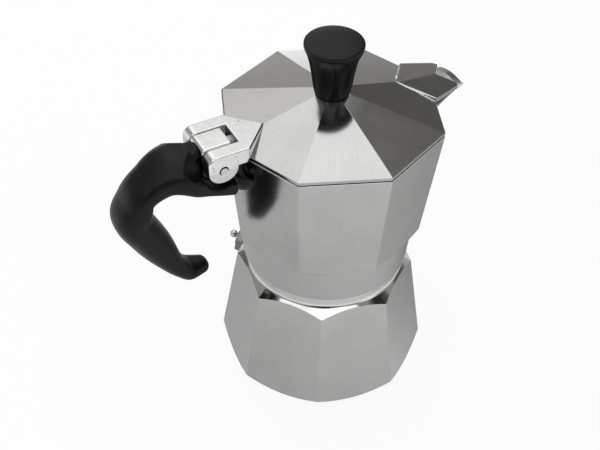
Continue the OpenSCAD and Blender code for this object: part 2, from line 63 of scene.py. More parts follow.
def smooth_max(a: np.ndarray, b: np.ndarray, blend: float) -> np.ndarray:
    """The greater of two fields, with a round blend that is `blend` wide where they meet."""
    return -smooth_min(-a, -b, blend)


def ease(low: float, high: float, value: np.ndarray) -> np.ndarray:
    """Goes from 0 at `low` to 1 at `high` along a cubic that is level at both ends."""
    t = np.clip((value - low) / (high - low), 0.0, 1.0)
    return t * t * (3 - 2 * t)


def soften(values: np.ndarray, passes: int) -> np.ndarray:
    """A map averaged with its neighbours along both axes, by weights 1, 2 and 1, a number of times.

    Args:
        values: The map, of two axes.
        passes: How many times it is averaged.

    Returns:
        The smoother map.
    """
    for _ in range(passes):
        for axis in (0, 1):
            edge = np.take(values, [0], axis), np.take(values, [-1], axis)
            wide = np.concatenate([edge[0], values, edge[1]], axis)
            size = values.shape[axis]
            before, after = np.take(wide, range(size), axis), np.take(wide, range(2, size + 2), axis)
            values = (before + 2 * values + after) / 4
    return values


def unit_octagon(theta: np.ndarray, rounding: float, turn: float = 0.0) -> np.ndarray:
    """Distance to the side of an octagon whose sharp corners would be 1 from its centre.

    Each corner is an arc of radius `rounding`, tangent to both sides; the first corner is at `turn`.

    Args:
        theta: Directions, in radians.
        rounding: Radius of the corners' arcs, as a share of the corner radius.
        turn: Direction of a corner, in radians.

    Returns:
        The distance in each direction.
    """
    phi = np.abs((theta - turn + HALF_SIDE) % (2 * HALF_SIDE) - HALF_SIDE)
    centre = 1 - rounding / FLAT
    arc_end = math.atan2(rounding * math.sin(HALF_SIDE), centre + rounding * FLAT)
    arc = centre * np.cos(phi) + np.sqrt(np.maximum(rounding**2 - (centre * np.sin(phi)) ** 2, 0))
    return np.where(phi < arc_end, arc, FLAT / np.cos(HALF_SIDE - phi))


def octagon_columns(rounding: float, turn: float = 0.0, flat_steps: int = 12) -> np.ndarray:
    """Directions that fall on the ends and inside of every corner's arc, and evenly along each side.

    Args:
        rounding: Radius of the corners' arcs, as a share of the corner radius.
        turn: Direction of a corner, in radians.
        flat_steps: Steps along each flat side.

    Returns:
        The directions, in radians.
    """
    centre = 1 - rounding / FLAT
    arc = np.linspace(-HALF_SIDE, HALF_SIDE, 9)
    arc = np.arctan2(rounding * np.sin(arc), centre + rounding * np.cos(arc))
    side = np.linspace(arc[-1], 2 * HALF_SIDE - arc[-1], flat_steps + 1)[1:-1]
    corners = turn + 2 * HALF_SIDE * np.arange(8)
    return (corners[:, None] + np.concatenate([arc, side])[None, :]).ravel()


def rounded_rows(keys: list[tuple], steps: int = 5) -> np.ndarray:
    """Carries a profile's corner points round all columns, with each corner eased into an arc.

    A corner P with fillet f is replaced by the quadratic curve from P + t u to P + t v, where u and v
    point to its neighbours and t = f tan(turn / 2), held under half of either span.

    Args:
        keys: (radius, height, fillet) for each corner, each a number or an array over the columns.
        steps: Segments in each rounded corner.

    Returns:
        Array of rows, columns and the pair (radius, height).
    """
    wide = max(np.size(k[0]) for k in keys)
    points = [np.stack([np.broadcast_to(np.asarray(k[i], float), wide) for i in (0, 1)], -1) for k in keys]
    rows = [points[0]]
    for i in range(1, len(keys) - 1):
        if keys[i][2] <= 0:
            rows.append(points[i])
            continue
        back, ahead = points[i - 1] - points[i], points[i + 1] - points[i]
        back_len = np.maximum(np.linalg.norm(back, axis=-1, keepdims=True), 1e-6)
        ahead_len = np.maximum(np.linalg.norm(ahead, axis=-1, keepdims=True), 1e-6)
        back, ahead = back / back_len, ahead / ahead_len
        cos_turn = np.clip(-(back * ahead).sum(-1, keepdims=True), -0.999, 1)
        reach = keys[i][2] * np.sqrt((1 - cos_turn) / (1 + cos_turn))
        reach = np.minimum(reach, 0.46 * np.minimum(back_len, ahead_len))
        for t in np.linspace(0, 1, steps + 1):
            rows.append(points[i] + reach * ((1 - t) ** 2 * back + t * t * ahead))
    rows.append(points[-1])
    return np.stack(rows)


def span(start: tuple, end: tuple, count: int) -> list[tuple]:
    """Plain profile points that divide the span between two (radius, height) points."""
    return [tuple(a + (b - a) * k / count for a, b in zip(start, end)) + (0,) for k in range(1, count)]


@dataclass(frozen=True)
class Thread:
    """A right-handed thread: a rounded ridge that climbs one pitch for each turn."""

    root: float
    crest: float
    low: float
    high: float
    pitch: float = 3.0
    run_out: float = 0.8
    row_height: float = 0.24

    def keys(self, theta: np.ndarray) -> list[tuple]:
        """Profile points from the low end to the high one.

        The radius is root + (crest - root) w, where w = (1 + cos(2 pi (z / pitch - theta / 2 pi))) / 2 is
        sharpened, and fades out at both ends.

        Args:
            theta: Directions of the columns, in radians.

        Returns:
            (radius, height, fillet) for each row.
        """
        keys = []
        for z in np.linspace(self.low, self.high, max(2, round((self.high - self.low) / self.row_height))):
            wave = 0.5 + 0.5 * np.cos(2 * math.pi * z / self.pitch - theta)
            fade = max(min(1.0, (z - self.low) / self.run_out, (self.high - z) / self.run_out), 0.0)
            keys.append((self.root + (self.crest - self.root) * ease(0.15, 0.85, wave) * fade, z, 0))
        return keys


# ---------------------------------------------------------------- meshes

@dataclass
class Solid:
    """A closed surface in millimetres, before it becomes a mesh.

    Attributes:
        points: Array (n, 3).
        faces: Arrays (m, 3) or (m, 4) of numbers of the points.
        zones: The material slot of each face, in an array for each array of faces.
    """

    points: np.ndarray
    faces: list[np.ndarray]
    zones: list[np.ndarray]

    @classmethod
    def turned(cls, theta: np.ndarray, rows: np.ndarray, zones: np.ndarray | int = 0,
               loop: bool = False) -> "Solid":
        """Makes a closed surface whose rows (radius, height) go round the axis at the angles `theta`.

        Point (i, j) is (r cos theta_j, r sin theta_j, z). Without a loop, each end row becomes one pole.

        Args:
            theta: Angles of the columns.
            rows: (rows, columns, 2) array from rounded_rows.
            zones: Material slot of each band between two rows.
            loop: Whether the last row joins the first.

        Returns:
            The surface.
        """
        height, wide = len(rows), len(theta)
        rows = np.broadcast_to(rows, (height, wide, 2))
        grid = np.stack([rows[..., 0] * np.cos(theta), rows[..., 0] * np.sin(theta), rows[..., 1]], -1)
        points = grid.reshape(-1, 3)
        index = np.arange(height * wide).reshape(height, wide)
        band = np.arange(height if loop else height - 1)
        a, b = index[band], index[(band + 1) % height]
        quads = np.stack([a, np.roll(a, -1, 1), np.roll(b, -1, 1), b], -1)
        zone = np.broadcast_to(np.asarray(zones).reshape(-1, 1), (len(band), wide))
        if loop:
            return cls(points, [quads.reshape(-1, 4)], [zone.ravel()])
        first, last = quads[0], quads[-1]
        poles = np.concatenate([np.stack([np.full(wide, index[0, 0]), first[:, 2], first[:, 3]], -1),
                                np.stack([last[:, 0], last[:, 1], np.full(wide, index[-1, 0])], -1)])
        return cls(points, [quads[1:-1].reshape(-1, 4), poles],
                   [zone[1:-1].ravel(), np.concatenate([zone[0], zone[-1]])])

    def mesh(self, name: str) -> bpy.types.Mesh:
        """The surface as a mesh in metres, without loose points.

        Args:
            name: The mesh's name.

        Returns:
            The mesh.
        """
        points = self.points * MM
        corners = np.concatenate([f.ravel() for f in self.faces])
        used, corners = np.unique(corners, return_inverse=True)
        sizes = np.concatenate([np.full(len(f), f.shape[1]) for f in self.faces])
        mesh = bpy.data.meshes.new(name)
        mesh.vertices.add(len(used))
        mesh.vertices.foreach_set("co", points[used].astype(np.float32).ravel())
        mesh.loops.add(len(corners))
        mesh.loops.foreach_set("vertex_index", corners.astype(np.int32))
        mesh.polygons.add(len(sizes))
        mesh.polygons.foreach_set("loop_start", (np.cumsum(sizes) - sizes).astype(np.int32))
        mesh.polygons.foreach_set("loop_total", sizes.astype(np.int32))
        mesh.polygons.foreach_set("material_index", np.concatenate(self.zones).astype(np.int32))
        mesh.update(calc_edges=True)
        mesh.validate()
        return mesh


def net(field_of: Callable[..., np.ndarray], low: tuple, high: tuple, step: float) -> Solid:
    """The surface where a field is zero, as a net of quads with one point in every cell it crosses.

    The field is sampled on a lattice; each crossed cell's point is the mean of the places where the
    field, taken as linear along the cell's twelve edges, is zero.

    Args:
        field_of: Function of open x, y and z arrays, negative inside the solid.
        low: Lowest corner of the lattice, clear of the solid.
        high: Highest corner, clear of the solid.
        step: Distance between samples.

    Returns:
        The closed surface, facing outwards.
    """
    axes = [np.arange(a, b + step, step) for a, b in zip(low, high)]
    x, y, z = np.ix_(*axes)
    values = np.asarray(field_of(x, y, z), np.float64)
    inside = values < 0
    nx, ny, nz = (n - 1 for n in values.shape)
    corners = [(i, j, k) for i in (0, 1) for j in (0, 1) for k in (0, 1)]
    total = sum(inside[i:i + nx, j:j + ny, k:k + nz].astype(np.int8) for i, j, k in corners)
    active = (total > 0) & (total < 8)
    cells = np.argwhere(active)
    order = np.full(active.shape, -1, np.int64)
    order[active] = np.arange(len(cells))
    sums, hits = np.zeros((len(cells), 3)), np.zeros(len(cells))
    for axis in range(3):
        for i, j, k in [c for c in corners if c[axis] == 0]:
            start = cells + (i, j, k)
            end = start + np.eye(3, dtype=int)[axis]
            a, b = values[tuple(start.T)], values[tuple(end.T)]
            crossed = (a < 0) != (b < 0)
            t = np.where(crossed, a / np.where(crossed, a - b, 1), 0)
            place = start + t[:, None] * np.eye(3)[axis]
            sums += place * crossed[:, None]
            hits += crossed
    points = np.array([a[0] for a in axes]) + step * sums / hits[:, None]
    faces = []
    for axis in range(3):
        u, v = [a for a in range(3) if a != axis]
        lead = np.take(inside, range(values.shape[axis] - 1), axis)
        tail = np.take(inside, range(1, values.shape[axis]), axis)
        edges = np.argwhere(lead != tail)
        edges = edges[(edges[:, u] > 0) & (edges[:, v] > 0)
                      & (edges[:, u] < values.shape[u] - 1) & (edges[:, v] < values.shape[v] - 1)]
        du, dv = np.eye(3, dtype=int)[u], np.eye(3, dtype=int)[v]
        quad = [order[tuple((edges - a * du - b * dv).T)] for a, b in ((1, 1), (0, 1), (0, 0), (1, 0))]
        quad = np.stack(quad, -1)
        outward = inside[tuple(edges.T)] ^ (axis == 1)
        faces.append(np.where(outward[:, None], quad, quad[:, ::-1]))
    faces = np.concatenate(faces)
    return Solid(points, [faces], [np.zeros(len(faces), int)])


def polygon_field(a: np.ndarray, b: np.ndarray, outline: list[tuple]) -> np.ndarray:
    """Signed distance in a plane to a closed polygon, negative inside.

    Args:
        a: First coordinates of the places.
        b: Second coordinates.
        outline: The polygon's corners in order.

    Returns:
        The distances.
    """
    shape = np.broadcast(a, b).shape
    near, crossings = np.full(shape, 1e9), np.zeros(shape, bool)
    for (x0, y0), (x1, y1) in zip(outline, outline[1:] + outline[:1]):
        ex, ey = x1 - x0, y1 - y0
        t = np.clip(((a - x0) * ex + (b - y0) * ey) / (ex * ex + ey * ey), 0, 1)
        near = np.minimum(near, (a - x0 - t * ex) ** 2 + (b - y0 - t * ey) ** 2)
        if ey:
            crossings ^= ((y0 > b) != (y1 > b)) & (a < x0 + ex * (b - y0) / ey)
    return np.where(crossings, -1, 1) * np.sqrt(near)


def round_corner(side: np.ndarray, x: np.ndarray, z: np.ndarray, at: tuple, radius: float) -> np.ndarray:
    """A side view's field with its corner of least x and greatest z, which stands at `at`, made round."""
    arc = np.hypot(np.minimum(x - at[0] - radius, 0), z - at[1] + radius) - radius
    return np.where((x < at[0] + radius) & (z > at[1] - radius), np.maximum(side, arc), side)


# ---------------------------------------------------------------- shaders

class Wire:
    """A shader socket that Python's operators join to others with Math nodes."""

    def __init__(self, paint: "Paint", socket: bpy.types.NodeSocket) -> None:
        """Holds a socket of the paint's tree."""
        self.paint = paint
        self.socket = socket

    def math(self, operation: str, *others: "Wire | float") -> "Wire":
        """One Math node on this socket and up to two others."""
        return self.paint.math(operation, self, *others)

    def __add__(self, other: "Wire | float") -> "Wire":
        """This value plus another."""
        return self.math("ADD", other)

    def __sub__(self, other: "Wire | float") -> "Wire":
        """This value less another."""
        return self.math("SUBTRACT", other)

    def __rsub__(self, other: float) -> "Wire":
        """Another value less this one."""
        return self.paint.math("SUBTRACT", other, self)

    def __mul__(self, other: "Wire | float") -> "Wire":
        """This value times another."""
        return self.math("MULTIPLY", other)

    def __truediv__(self, other: "Wire | float") -> "Wire":
        """This value over another."""
        return self.math("DIVIDE", other)

    def __pow__(self, other: float) -> "Wire":
        """This value to a power."""
        return self.math("POWER", other)

    def ease(self, low: float, high: float) -> "Wire":
        """Goes smoothly from 0 to 1 as this value goes from low to high."""
        return self.paint.node("ShaderNodeMapRange", {"interpolation_type": "SMOOTHSTEP"},
                               {"Value": self, "From Min": low, "From Max": high})


class Paint:
    """One material's or world's node tree, in which every node comes from the node method."""

    def __init__(self, tree: bpy.types.NodeTree) -> None:
        """Starts from an empty tree."""
        self.tree = tree
        tree.nodes.clear()

    def node(self, kind: str, settings: dict | None = None, inputs: dict | None = None,
             output: str | int = 0) -> Wire:
        """Makes a node, sets it, then fills its sockets.

        Args:
            kind: The node's type.
            settings: Its properties; "stops" holds a ramp's (position, colour) pairs.
            inputs: Values or wires by socket name or number.
            output: The socket that is handed back, by name or number.

        Returns:
            A wire from that socket.
        """
        node = self.tree.nodes.new(kind)
        for key, value in (settings or {}).items():
            if key == "stops":
                ramp = node.color_ramp.elements
                while len(ramp) < len(value):
                    ramp.new(0.5)
                for stop, (position, colour) in zip(ramp, value):
                    stop.position, stop.color = position, (*colour, 1.0)
            else:
                setattr(node, key, value)
        for key, value in (inputs or {}).items():
            if isinstance(value, Wire):
                self.tree.links.new(value.socket, node.inputs[key])
            else:
                node.inputs[key].default_value = value
        return Wire(self, node.outputs[output]) if len(node.outputs) else Wire(self, node.inputs[0])

    def math(self, operation: str, *values: Wire | float) -> Wire:
        """One Math node."""
        return self.node("ShaderNodeMath", {"operation": operation}, dict(enumerate(values)))

    def place(self) -> Wire:
        """The point's place on the piece, in metres."""
        return self.node("ShaderNodeTexCoord", output="Object")

    def stretched(self, vector: Wire, scale: tuple) -> Wire:
        """A vector with each part multiplied."""
        return self.node("ShaderNodeVectorMath", {"operation": "MULTIPLY"}, {0: vector, 1: scale})

    def split(self, vector: Wire) -> tuple[Wire, Wire, Wire]:
        """A vector's three parts."""
        first = self.node("ShaderNodeSeparateXYZ", None, {0: vector})
        return tuple(Wire(self, first.socket.node.outputs[i]) for i in range(3))

    def joined(self, x: Wire | float, y: Wire | float, z: Wire | float) -> Wire:
        """A vector from three parts."""
        return self.node("ShaderNodeCombineXYZ", None, {0: x, 1: y, 2: z})

    def noise(self, vector: Wire, scale: float, detail: float = 2.0, rough: float = 0.5) -> Wire:
        """Noise from 0 to 1 at a frequency for each unit of the vector."""
        return self.node("ShaderNodeTexNoise", {"noise_dimensions": "3D"},
                         {"Vector": vector, "Scale": scale, "Detail": detail, "Roughness": rough})

    def tint(self, amount: Wire, low: tuple, high: tuple) -> Wire:
        """A colour that goes from low to high with the amount."""
        return self.node("ShaderNodeMix", {"data_type": "RGBA"},
                         {"Factor": amount, 6: (*low, 1.0), 7: (*high, 1.0)}, output=2)

    def bumped(self, height: Wire, depth: float) -> Wire:
        """The normal over a height from 0 to 1 that stands for a depth in metres."""
        return self.node("ShaderNodeBump", None, {"Strength": 1.0, "Distance": depth, "Height": height})

    def surface(self, **inputs) -> None:
        """Ends a material with a Principled shader."""
        named = {key.replace("_", " ").title().replace("Ior", "IOR"): value for key, value in inputs.items()}
        shader = self.node("ShaderNodeBsdfPrincipled", None, named)
        self.node("ShaderNodeOutputMaterial", None, {"Surface": shader})


def blank(name: str) -> tuple[bpy.types.Material, Paint]:
    """A new material and the paint for its empty tree."""
    material = bpy.data.materials.new(name)
    material.use_nodes = True
    return material, Paint(material.node_tree)


class Grain(Enum):
    """How a metal surface was worked."""

    LEVEL = "short level strokes along flat sides"
    FINE = "fine even grain"
    TURNED = "fine rings round the axis"
    CAST = "smooth casting with pits"
    RADIAL = "fine strokes outwards from the axis"
    ROLLED = "plain rolled sheet"


@dataclass(frozen=True)
class Metal:
    """A metal surface: its colour, gloss and grain."""

    name: str
    tone: tuple[float, float, float]
    gloss: float
    grain: Grain
    depth: float
    pits: float = 0.0
    cloud: float = 0.03

    def height(self, paint: Paint, place: Wire) -> Wire:
        """The grain's height, from 0 to 1.

        Args:
            paint: The material's nodes.
            place: The point's place on the piece.

        Returns:
            The height.
        """
        if self.grain is Grain.LEVEL:
            return paint.noise(paint.stretched(place, (700, 700, 3200)), 1.0, 3.0, 0.65)
        if self.grain is Grain.FINE:
            return paint.noise(place, 2300.0, 3.0, 0.7)
        if self.grain is Grain.TURNED:
            x, y, z = paint.split(place)
            radius = (x * x + y * y) ** 0.5
            rings = paint.joined(radius * 3400, z * 3400, 0.0)
            return paint.noise(rings, 1.0, 2.0, 0.6)
        if self.grain is Grain.RADIAL:
            x, y, z = paint.split(place)
            strokes = paint.joined(y.math("ARCTAN2", x) * 130, ((x * x + y * y) ** 0.5) * 110, z * 300)
            return paint.noise(strokes, 1.0, 4.0, 0.7)
        if self.grain is Grain.CAST:
            return paint.noise(place, 420.0, 4.0, 0.55)
        return paint.noise(paint.stretched(place, (300, 2200, 300)), 1.0, 2.0, 0.5)

    def material(self) -> bpy.types.Material:
        """Builds the shader: tone with a faint cloud and pits, uneven gloss, and the grain as bump.

        Returns:
            The material.
        """
        material, paint = blank(self.name)
        place = paint.place()
        grain = self.height(paint, place)
        cloud = paint.noise(place, 55.0, 3.0)
        amount = (cloud - 0.5) * 2 * self.cloud + (grain - 0.5) * self.cloud * 2.6 + 0.5
        level = grain
        if self.pits:
            cells = paint.node("ShaderNodeTexVoronoi", {"feature": "F1"}, {"Vector": place, "Scale": 520.0})
            chance = paint.noise(place, 330.0, 1.0)
            pit = (1 - cells.ease(0.06, 0.26)) * chance.ease(0.60, 0.66)
            amount = amount - pit * self.pits
            level = grain - pit * 6 * self.pits
        dark = tuple(c * 0.35 for c in self.tone)
        light = tuple(min(1.0, c * 1.65) for c in self.tone)
        rough = (cloud - 0.5) * 0.12 + (grain - 0.5) * 0.10 + self.gloss
        paint.surface(base_color=paint.tint(amount, dark, light), metallic=1.0, roughness=rough,
                      normal=paint.bumped(level, self.depth))
        return material


@dataclass(frozen=True)
class Moulding:
    """A moulded plastic or rubber surface with a fine even texture."""

    name: str
    tone: tuple[float, float, float]
    gloss: float
    texture: float
    depth: float
    shine: float = 0.5

    def material(self) -> bpy.types.Material:
        """Builds the shader: a faint mottle, and small soft bumps.

        Returns:
            The material.
        """
        material, paint = blank(self.name)
        place = paint.place()
        fine = paint.noise(place, self.texture, 3.0, 0.6)
        wide = paint.noise(place, 60.0, 2.0)
        low, high = tuple(c * 0.75 for c in self.tone), tuple(min(1.0, c * 1.3) for c in self.tone)
        rough = (fine - 0.5) * 0.12 + (wide - 0.5) * 0.10 + self.gloss
        paint.surface(base_color=paint.tint(wide * 0.5 + fine * 0.5, low, high), roughness=rough,
                      specular_ior_level=self.shine, normal=paint.bumped(fine, self.depth))
        return material


class Finish(Enum):
    """The pot's finishes."""

    FACET = Metal("satin_aluminium_facets", (0.47, 0.47, 0.465), 0.12, Grain.FINE, 8e-6, 0.15, 0.09)
    LID = Metal("stroked_aluminium_lid", (0.44, 0.44, 0.435), 0.115, Grain.RADIAL, 5e-6, 0.12, 0.08)
    BODY = Metal("stroked_aluminium_sides", (0.49, 0.49, 0.485), 0.17, Grain.LEVEL, 8e-6, 0.15, 0.07)
    TURNED = Metal("turned_aluminium", (0.66, 0.66, 0.65), 0.08, Grain.TURNED, 6.0e-6)
    SKIRT = Metal("turned_satin_aluminium", (0.47, 0.47, 0.465), 0.20, Grain.TURNED, 3.0e-6)
    CAST = Metal("bright_cast_aluminium", (0.90, 0.90, 0.89), 0.22, Grain.CAST, 2.2e-5, 0.5, 0.09)
    SHEET = Metal("pressed_aluminium", (0.80, 0.80, 0.79), 0.24, Grain.ROLLED, 4e-6)
    STEEL = Metal("bright_steel", (0.56, 0.55, 0.54), 0.18, Grain.ROLLED, 3e-6)
    NICKEL = Metal("nickel_plated_brass", (0.23, 0.225, 0.21), 0.25, Grain.CAST, 6e-6)
    BRASS = Metal("bare_brass", (0.62, 0.47, 0.22), 0.25, Grain.TURNED, 3e-6)
    PLASTIC = Moulding("black_moulded_plastic", (0.004, 0.004, 0.004), 0.33, 2600.0, 1.4e-5, 0.18)
    RUBBER = Moulding("seal_rubber", (0.72, 0.69, 0.60), 0.55, 1800.0, 1.5e-5)
    FIBRE = Moulding("washer_fibre", (0.22, 0.13, 0.08), 0.60, 1400.0, 2.5e-5)


class Shades:
    """Makes each finish's material once."""

    def __init__(self) -> None:
        """Starts without any material."""
        self.made: dict[Finish, bpy.types.Material] = {}

    def get(self, finish: Finish) -> bpy.types.Material:
        """The finish's material."""
        if finish not in self.made:
            self.made[finish] = finish.value.material()
        return self.made[finish]


SHADES = Shades()


def place_piece(name: str, solid: Solid, finishes: list[Finish], body: str,
                nodes: tuple[str, ...] = (), crease: float = 32.0) -> bpy.types.Object:
    """Makes a finished piece that rides on a body.

    Args:
        name: The piece's name.
        solid: Its surface.
        finishes: One finish for each zone of the surface.
        body: The body it moves with.
        nodes: Construction nodes that it stands for.
        crease: Angle in degrees past which an edge stays sharp.

    Returns:
        The object.
    """
    mesh = solid.mesh(name)
    mesh.shade_smooth()
    mesh.set_sharp_from_angle(angle=math.radians(crease))
    for finish in finishes:
        mesh.materials.append(SHADES.get(finish))
    piece = bpy.data.objects.new(name, mesh)
    bpy.context.scene.collection.objects.link(piece)
    weighted = piece.modifiers.new("flat sides stay flat", "WEIGHTED_NORMAL")
    weighted.keep_sharp = True
    weighted.weight = 60
    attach(piece, body)
    if nodes:
        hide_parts(*nodes)
    LOG.info("%s: %d faces on %s", name, len(mesh.polygons), body)
    return piece


# ---------------------------------------------------------------- the pot's classes

@dataclass
class Boiler:
    """The lower vessel: eight tapered flat sides, a turned shoulder and neck, and a round inside.

    Attributes:
        rise: How far the shoulder's cone rises for each millimetre towards the axis.
        twist: How far the boiler is turned against the collector.
        underside: The foot's profile from the axis outwards, as (radius, height, fillet).
        inside: The inside's profile from below the mouth to the axis.
    """

    base_r: float = 45.25
    shoulder_r: float = 38.0
    shoulder_z: float = 48.0
    foot_h: float = 3.2
    foot_r: float = 41.9
    neck_r: float = 33.0
    neck_top: float = 57.0
    lip_z: float = 66.5
    mouth_r: float = 28.3
    rise: float = 0.75
    twist: float = math.radians(14)
    rounding: float = 0.022
    underside: tuple = ((0, 0.4, 0), (20, 0.4, 0), (31, 0.4, 0.4), (31.8, 0, 0.4))
    thread: Thread = Thread(31.5, 32.45, 57.4, 65.6)
    inside: tuple = ((31.8, 46, 5), (38.3, 7, 3), (35.2, 3.2, 2.5), (12, 3.2, 0), (0, 3.2, 0))

    @property
    def taper(self) -> float:
        """How much the corner radius shrinks with each millimetre of height."""
        return (self.base_r - self.shoulder_r) / (self.shoulder_z - self.foot_h)

    def side_r(self, z: np.ndarray) -> np.ndarray:
        """Corner radius at a height."""
        return self.base_r - self.taper * (z - self.foot_h)

    def shell(self) -> Solid:
        """Outside and inside as one closed surface, the sides cut by two turned cones.

        The shoulder's cone and the foot's, r = foot_r + z, meet each column's straight side where the
        two lines cross, so both leave arched edges on the flat sides.

        Returns:
            The surface.
        """
        theta = octagon_columns(self.rounding, self.twist)
        unit = unit_octagon(theta, self.rounding, self.twist)
        slope = self.taper
        edge_z = (self.shoulder_r + self.shoulder_z / self.rise
                  - (self.base_r + slope * self.foot_h) * unit) / (1 / self.rise - slope * unit)
        edge_r = self.side_r(edge_z) * unit
        foot_z = np.maximum((self.side_r(0) * unit - self.foot_r) / (1 + slope * unit), 0.35)
        foot = (self.side_r(foot_z) * unit, foot_z)
        keys = [*self.underside, (self.foot_r - 0.5, 0, 0.5), (*foot, 0.9),
                *span(foot, (edge_r, edge_z), 6), (edge_r, edge_z, 0.35)]
        sides = len(rounded_rows(keys + [(self.neck_r, 52, 0)])) - 2
        keys += [(self.neck_r, 51.75, 3.4), (self.neck_r, 54.6, 0), (self.neck_r, self.neck_top, 0.3),
                 (self.thread.root, self.neck_top + 0.1, 0.2)]
        neck = len(rounded_rows(keys + [(self.thread.root, 58, 0)])) - 1
        keys += self.thread.keys(theta)
        keys += [(31.3, self.lip_z - 0.5, 0.2), (30.9, self.lip_z, 0.2), (self.mouth_r, self.lip_z, 0.4),
                 (self.mouth_r, 52.6, 2), *self.inside]
        rows = rounded_rows(keys)
        zones = np.full(len(rows) - 1, 1)
        zones[:sides] = 0
        zones[neck:] = 2
        return Solid.turned(theta, rows, zones)

    def build(self) -> None:
        """Makes the vessel."""
        place_piece("boiler_shell", self.shell(), [Finish.BODY, Finish.TURNED, Finish.SKIRT], "base",
                    ("boiler",))


@dataclass
class Spout:
    """The pouring spout's shape, as a half width over reach and height."""

    tip_x: float = 63.1
    tip_z: float = 119.82
    rim_z: float = 126.2
    hood_x: float = 54.0
    hood_w: float = 7.85
    flare: float = 0.475
    wall: float = 1.3

    def past(self, x: np.ndarray) -> np.ndarray:
        """How far a place is from the hood's end to the tip, from 0 to 1."""
        return np.clip((x - self.hood_x) / (self.tip_x - self.hood_x), 0, 1)

    def half_width(self, x: np.ndarray) -> np.ndarray:
        """Half width at the rim."""
        p = self.past(x)
        return np.where(x < self.hood_x, self.hood_w + self.flare * (self.hood_x - x),
                        self.hood_w * (1 - p**2) + 0.35 * p)

    def rim(self, x: np.ndarray) -> np.ndarray:
        """Height of the rim."""
        return self.rim_z - (self.rim_z - self.tip_z - 0.7) * self.past(x) ** 2.6

    def keel(self, x: np.ndarray) -> np.ndarray:
        """Height of the lowest line."""
        back = self.tip_x - x
        return self.tip_z - 0.5 * back - 0.015 * back**2

    def reach(self, theta: np.ndarray, z: np.ndarray, inset: float = 0.0) -> np.ndarray:
        """Distance from the axis to the spout's side, found by halving an interval.

        The section at x has half width w(x) (1 - t)^1.28, where t runs from the rim to the keel.

        Args:
            theta: Directions.
            z: Heights, of the same shape.
            inset: Wall thickness to stay inside, for the channel.

        Returns:
            The distances, or the least one where the spout doesn't reach.
        """
        low, high = np.full(theta.shape, 30.0), np.where(np.abs(theta) < 0.45, 70.0, 30.0)
        for _ in range(30):
            middle = (low + high) / 2
            x = middle * np.cos(theta)
            top, bottom = self.rim(x), self.keel(x) + inset
            t = np.clip((top - z) / np.maximum(top - bottom, 0.2), 0, 1)
            width = (self.half_width(x) - inset) * (1 - t) ** 1.28
            inside = (width > middle * np.abs(np.sin(theta))) & (x < self.tip_x - 0.45 * inset) & (z > bottom)
            low, high = np.where(inside, middle, low), np.where(inside, high, middle)
        return low


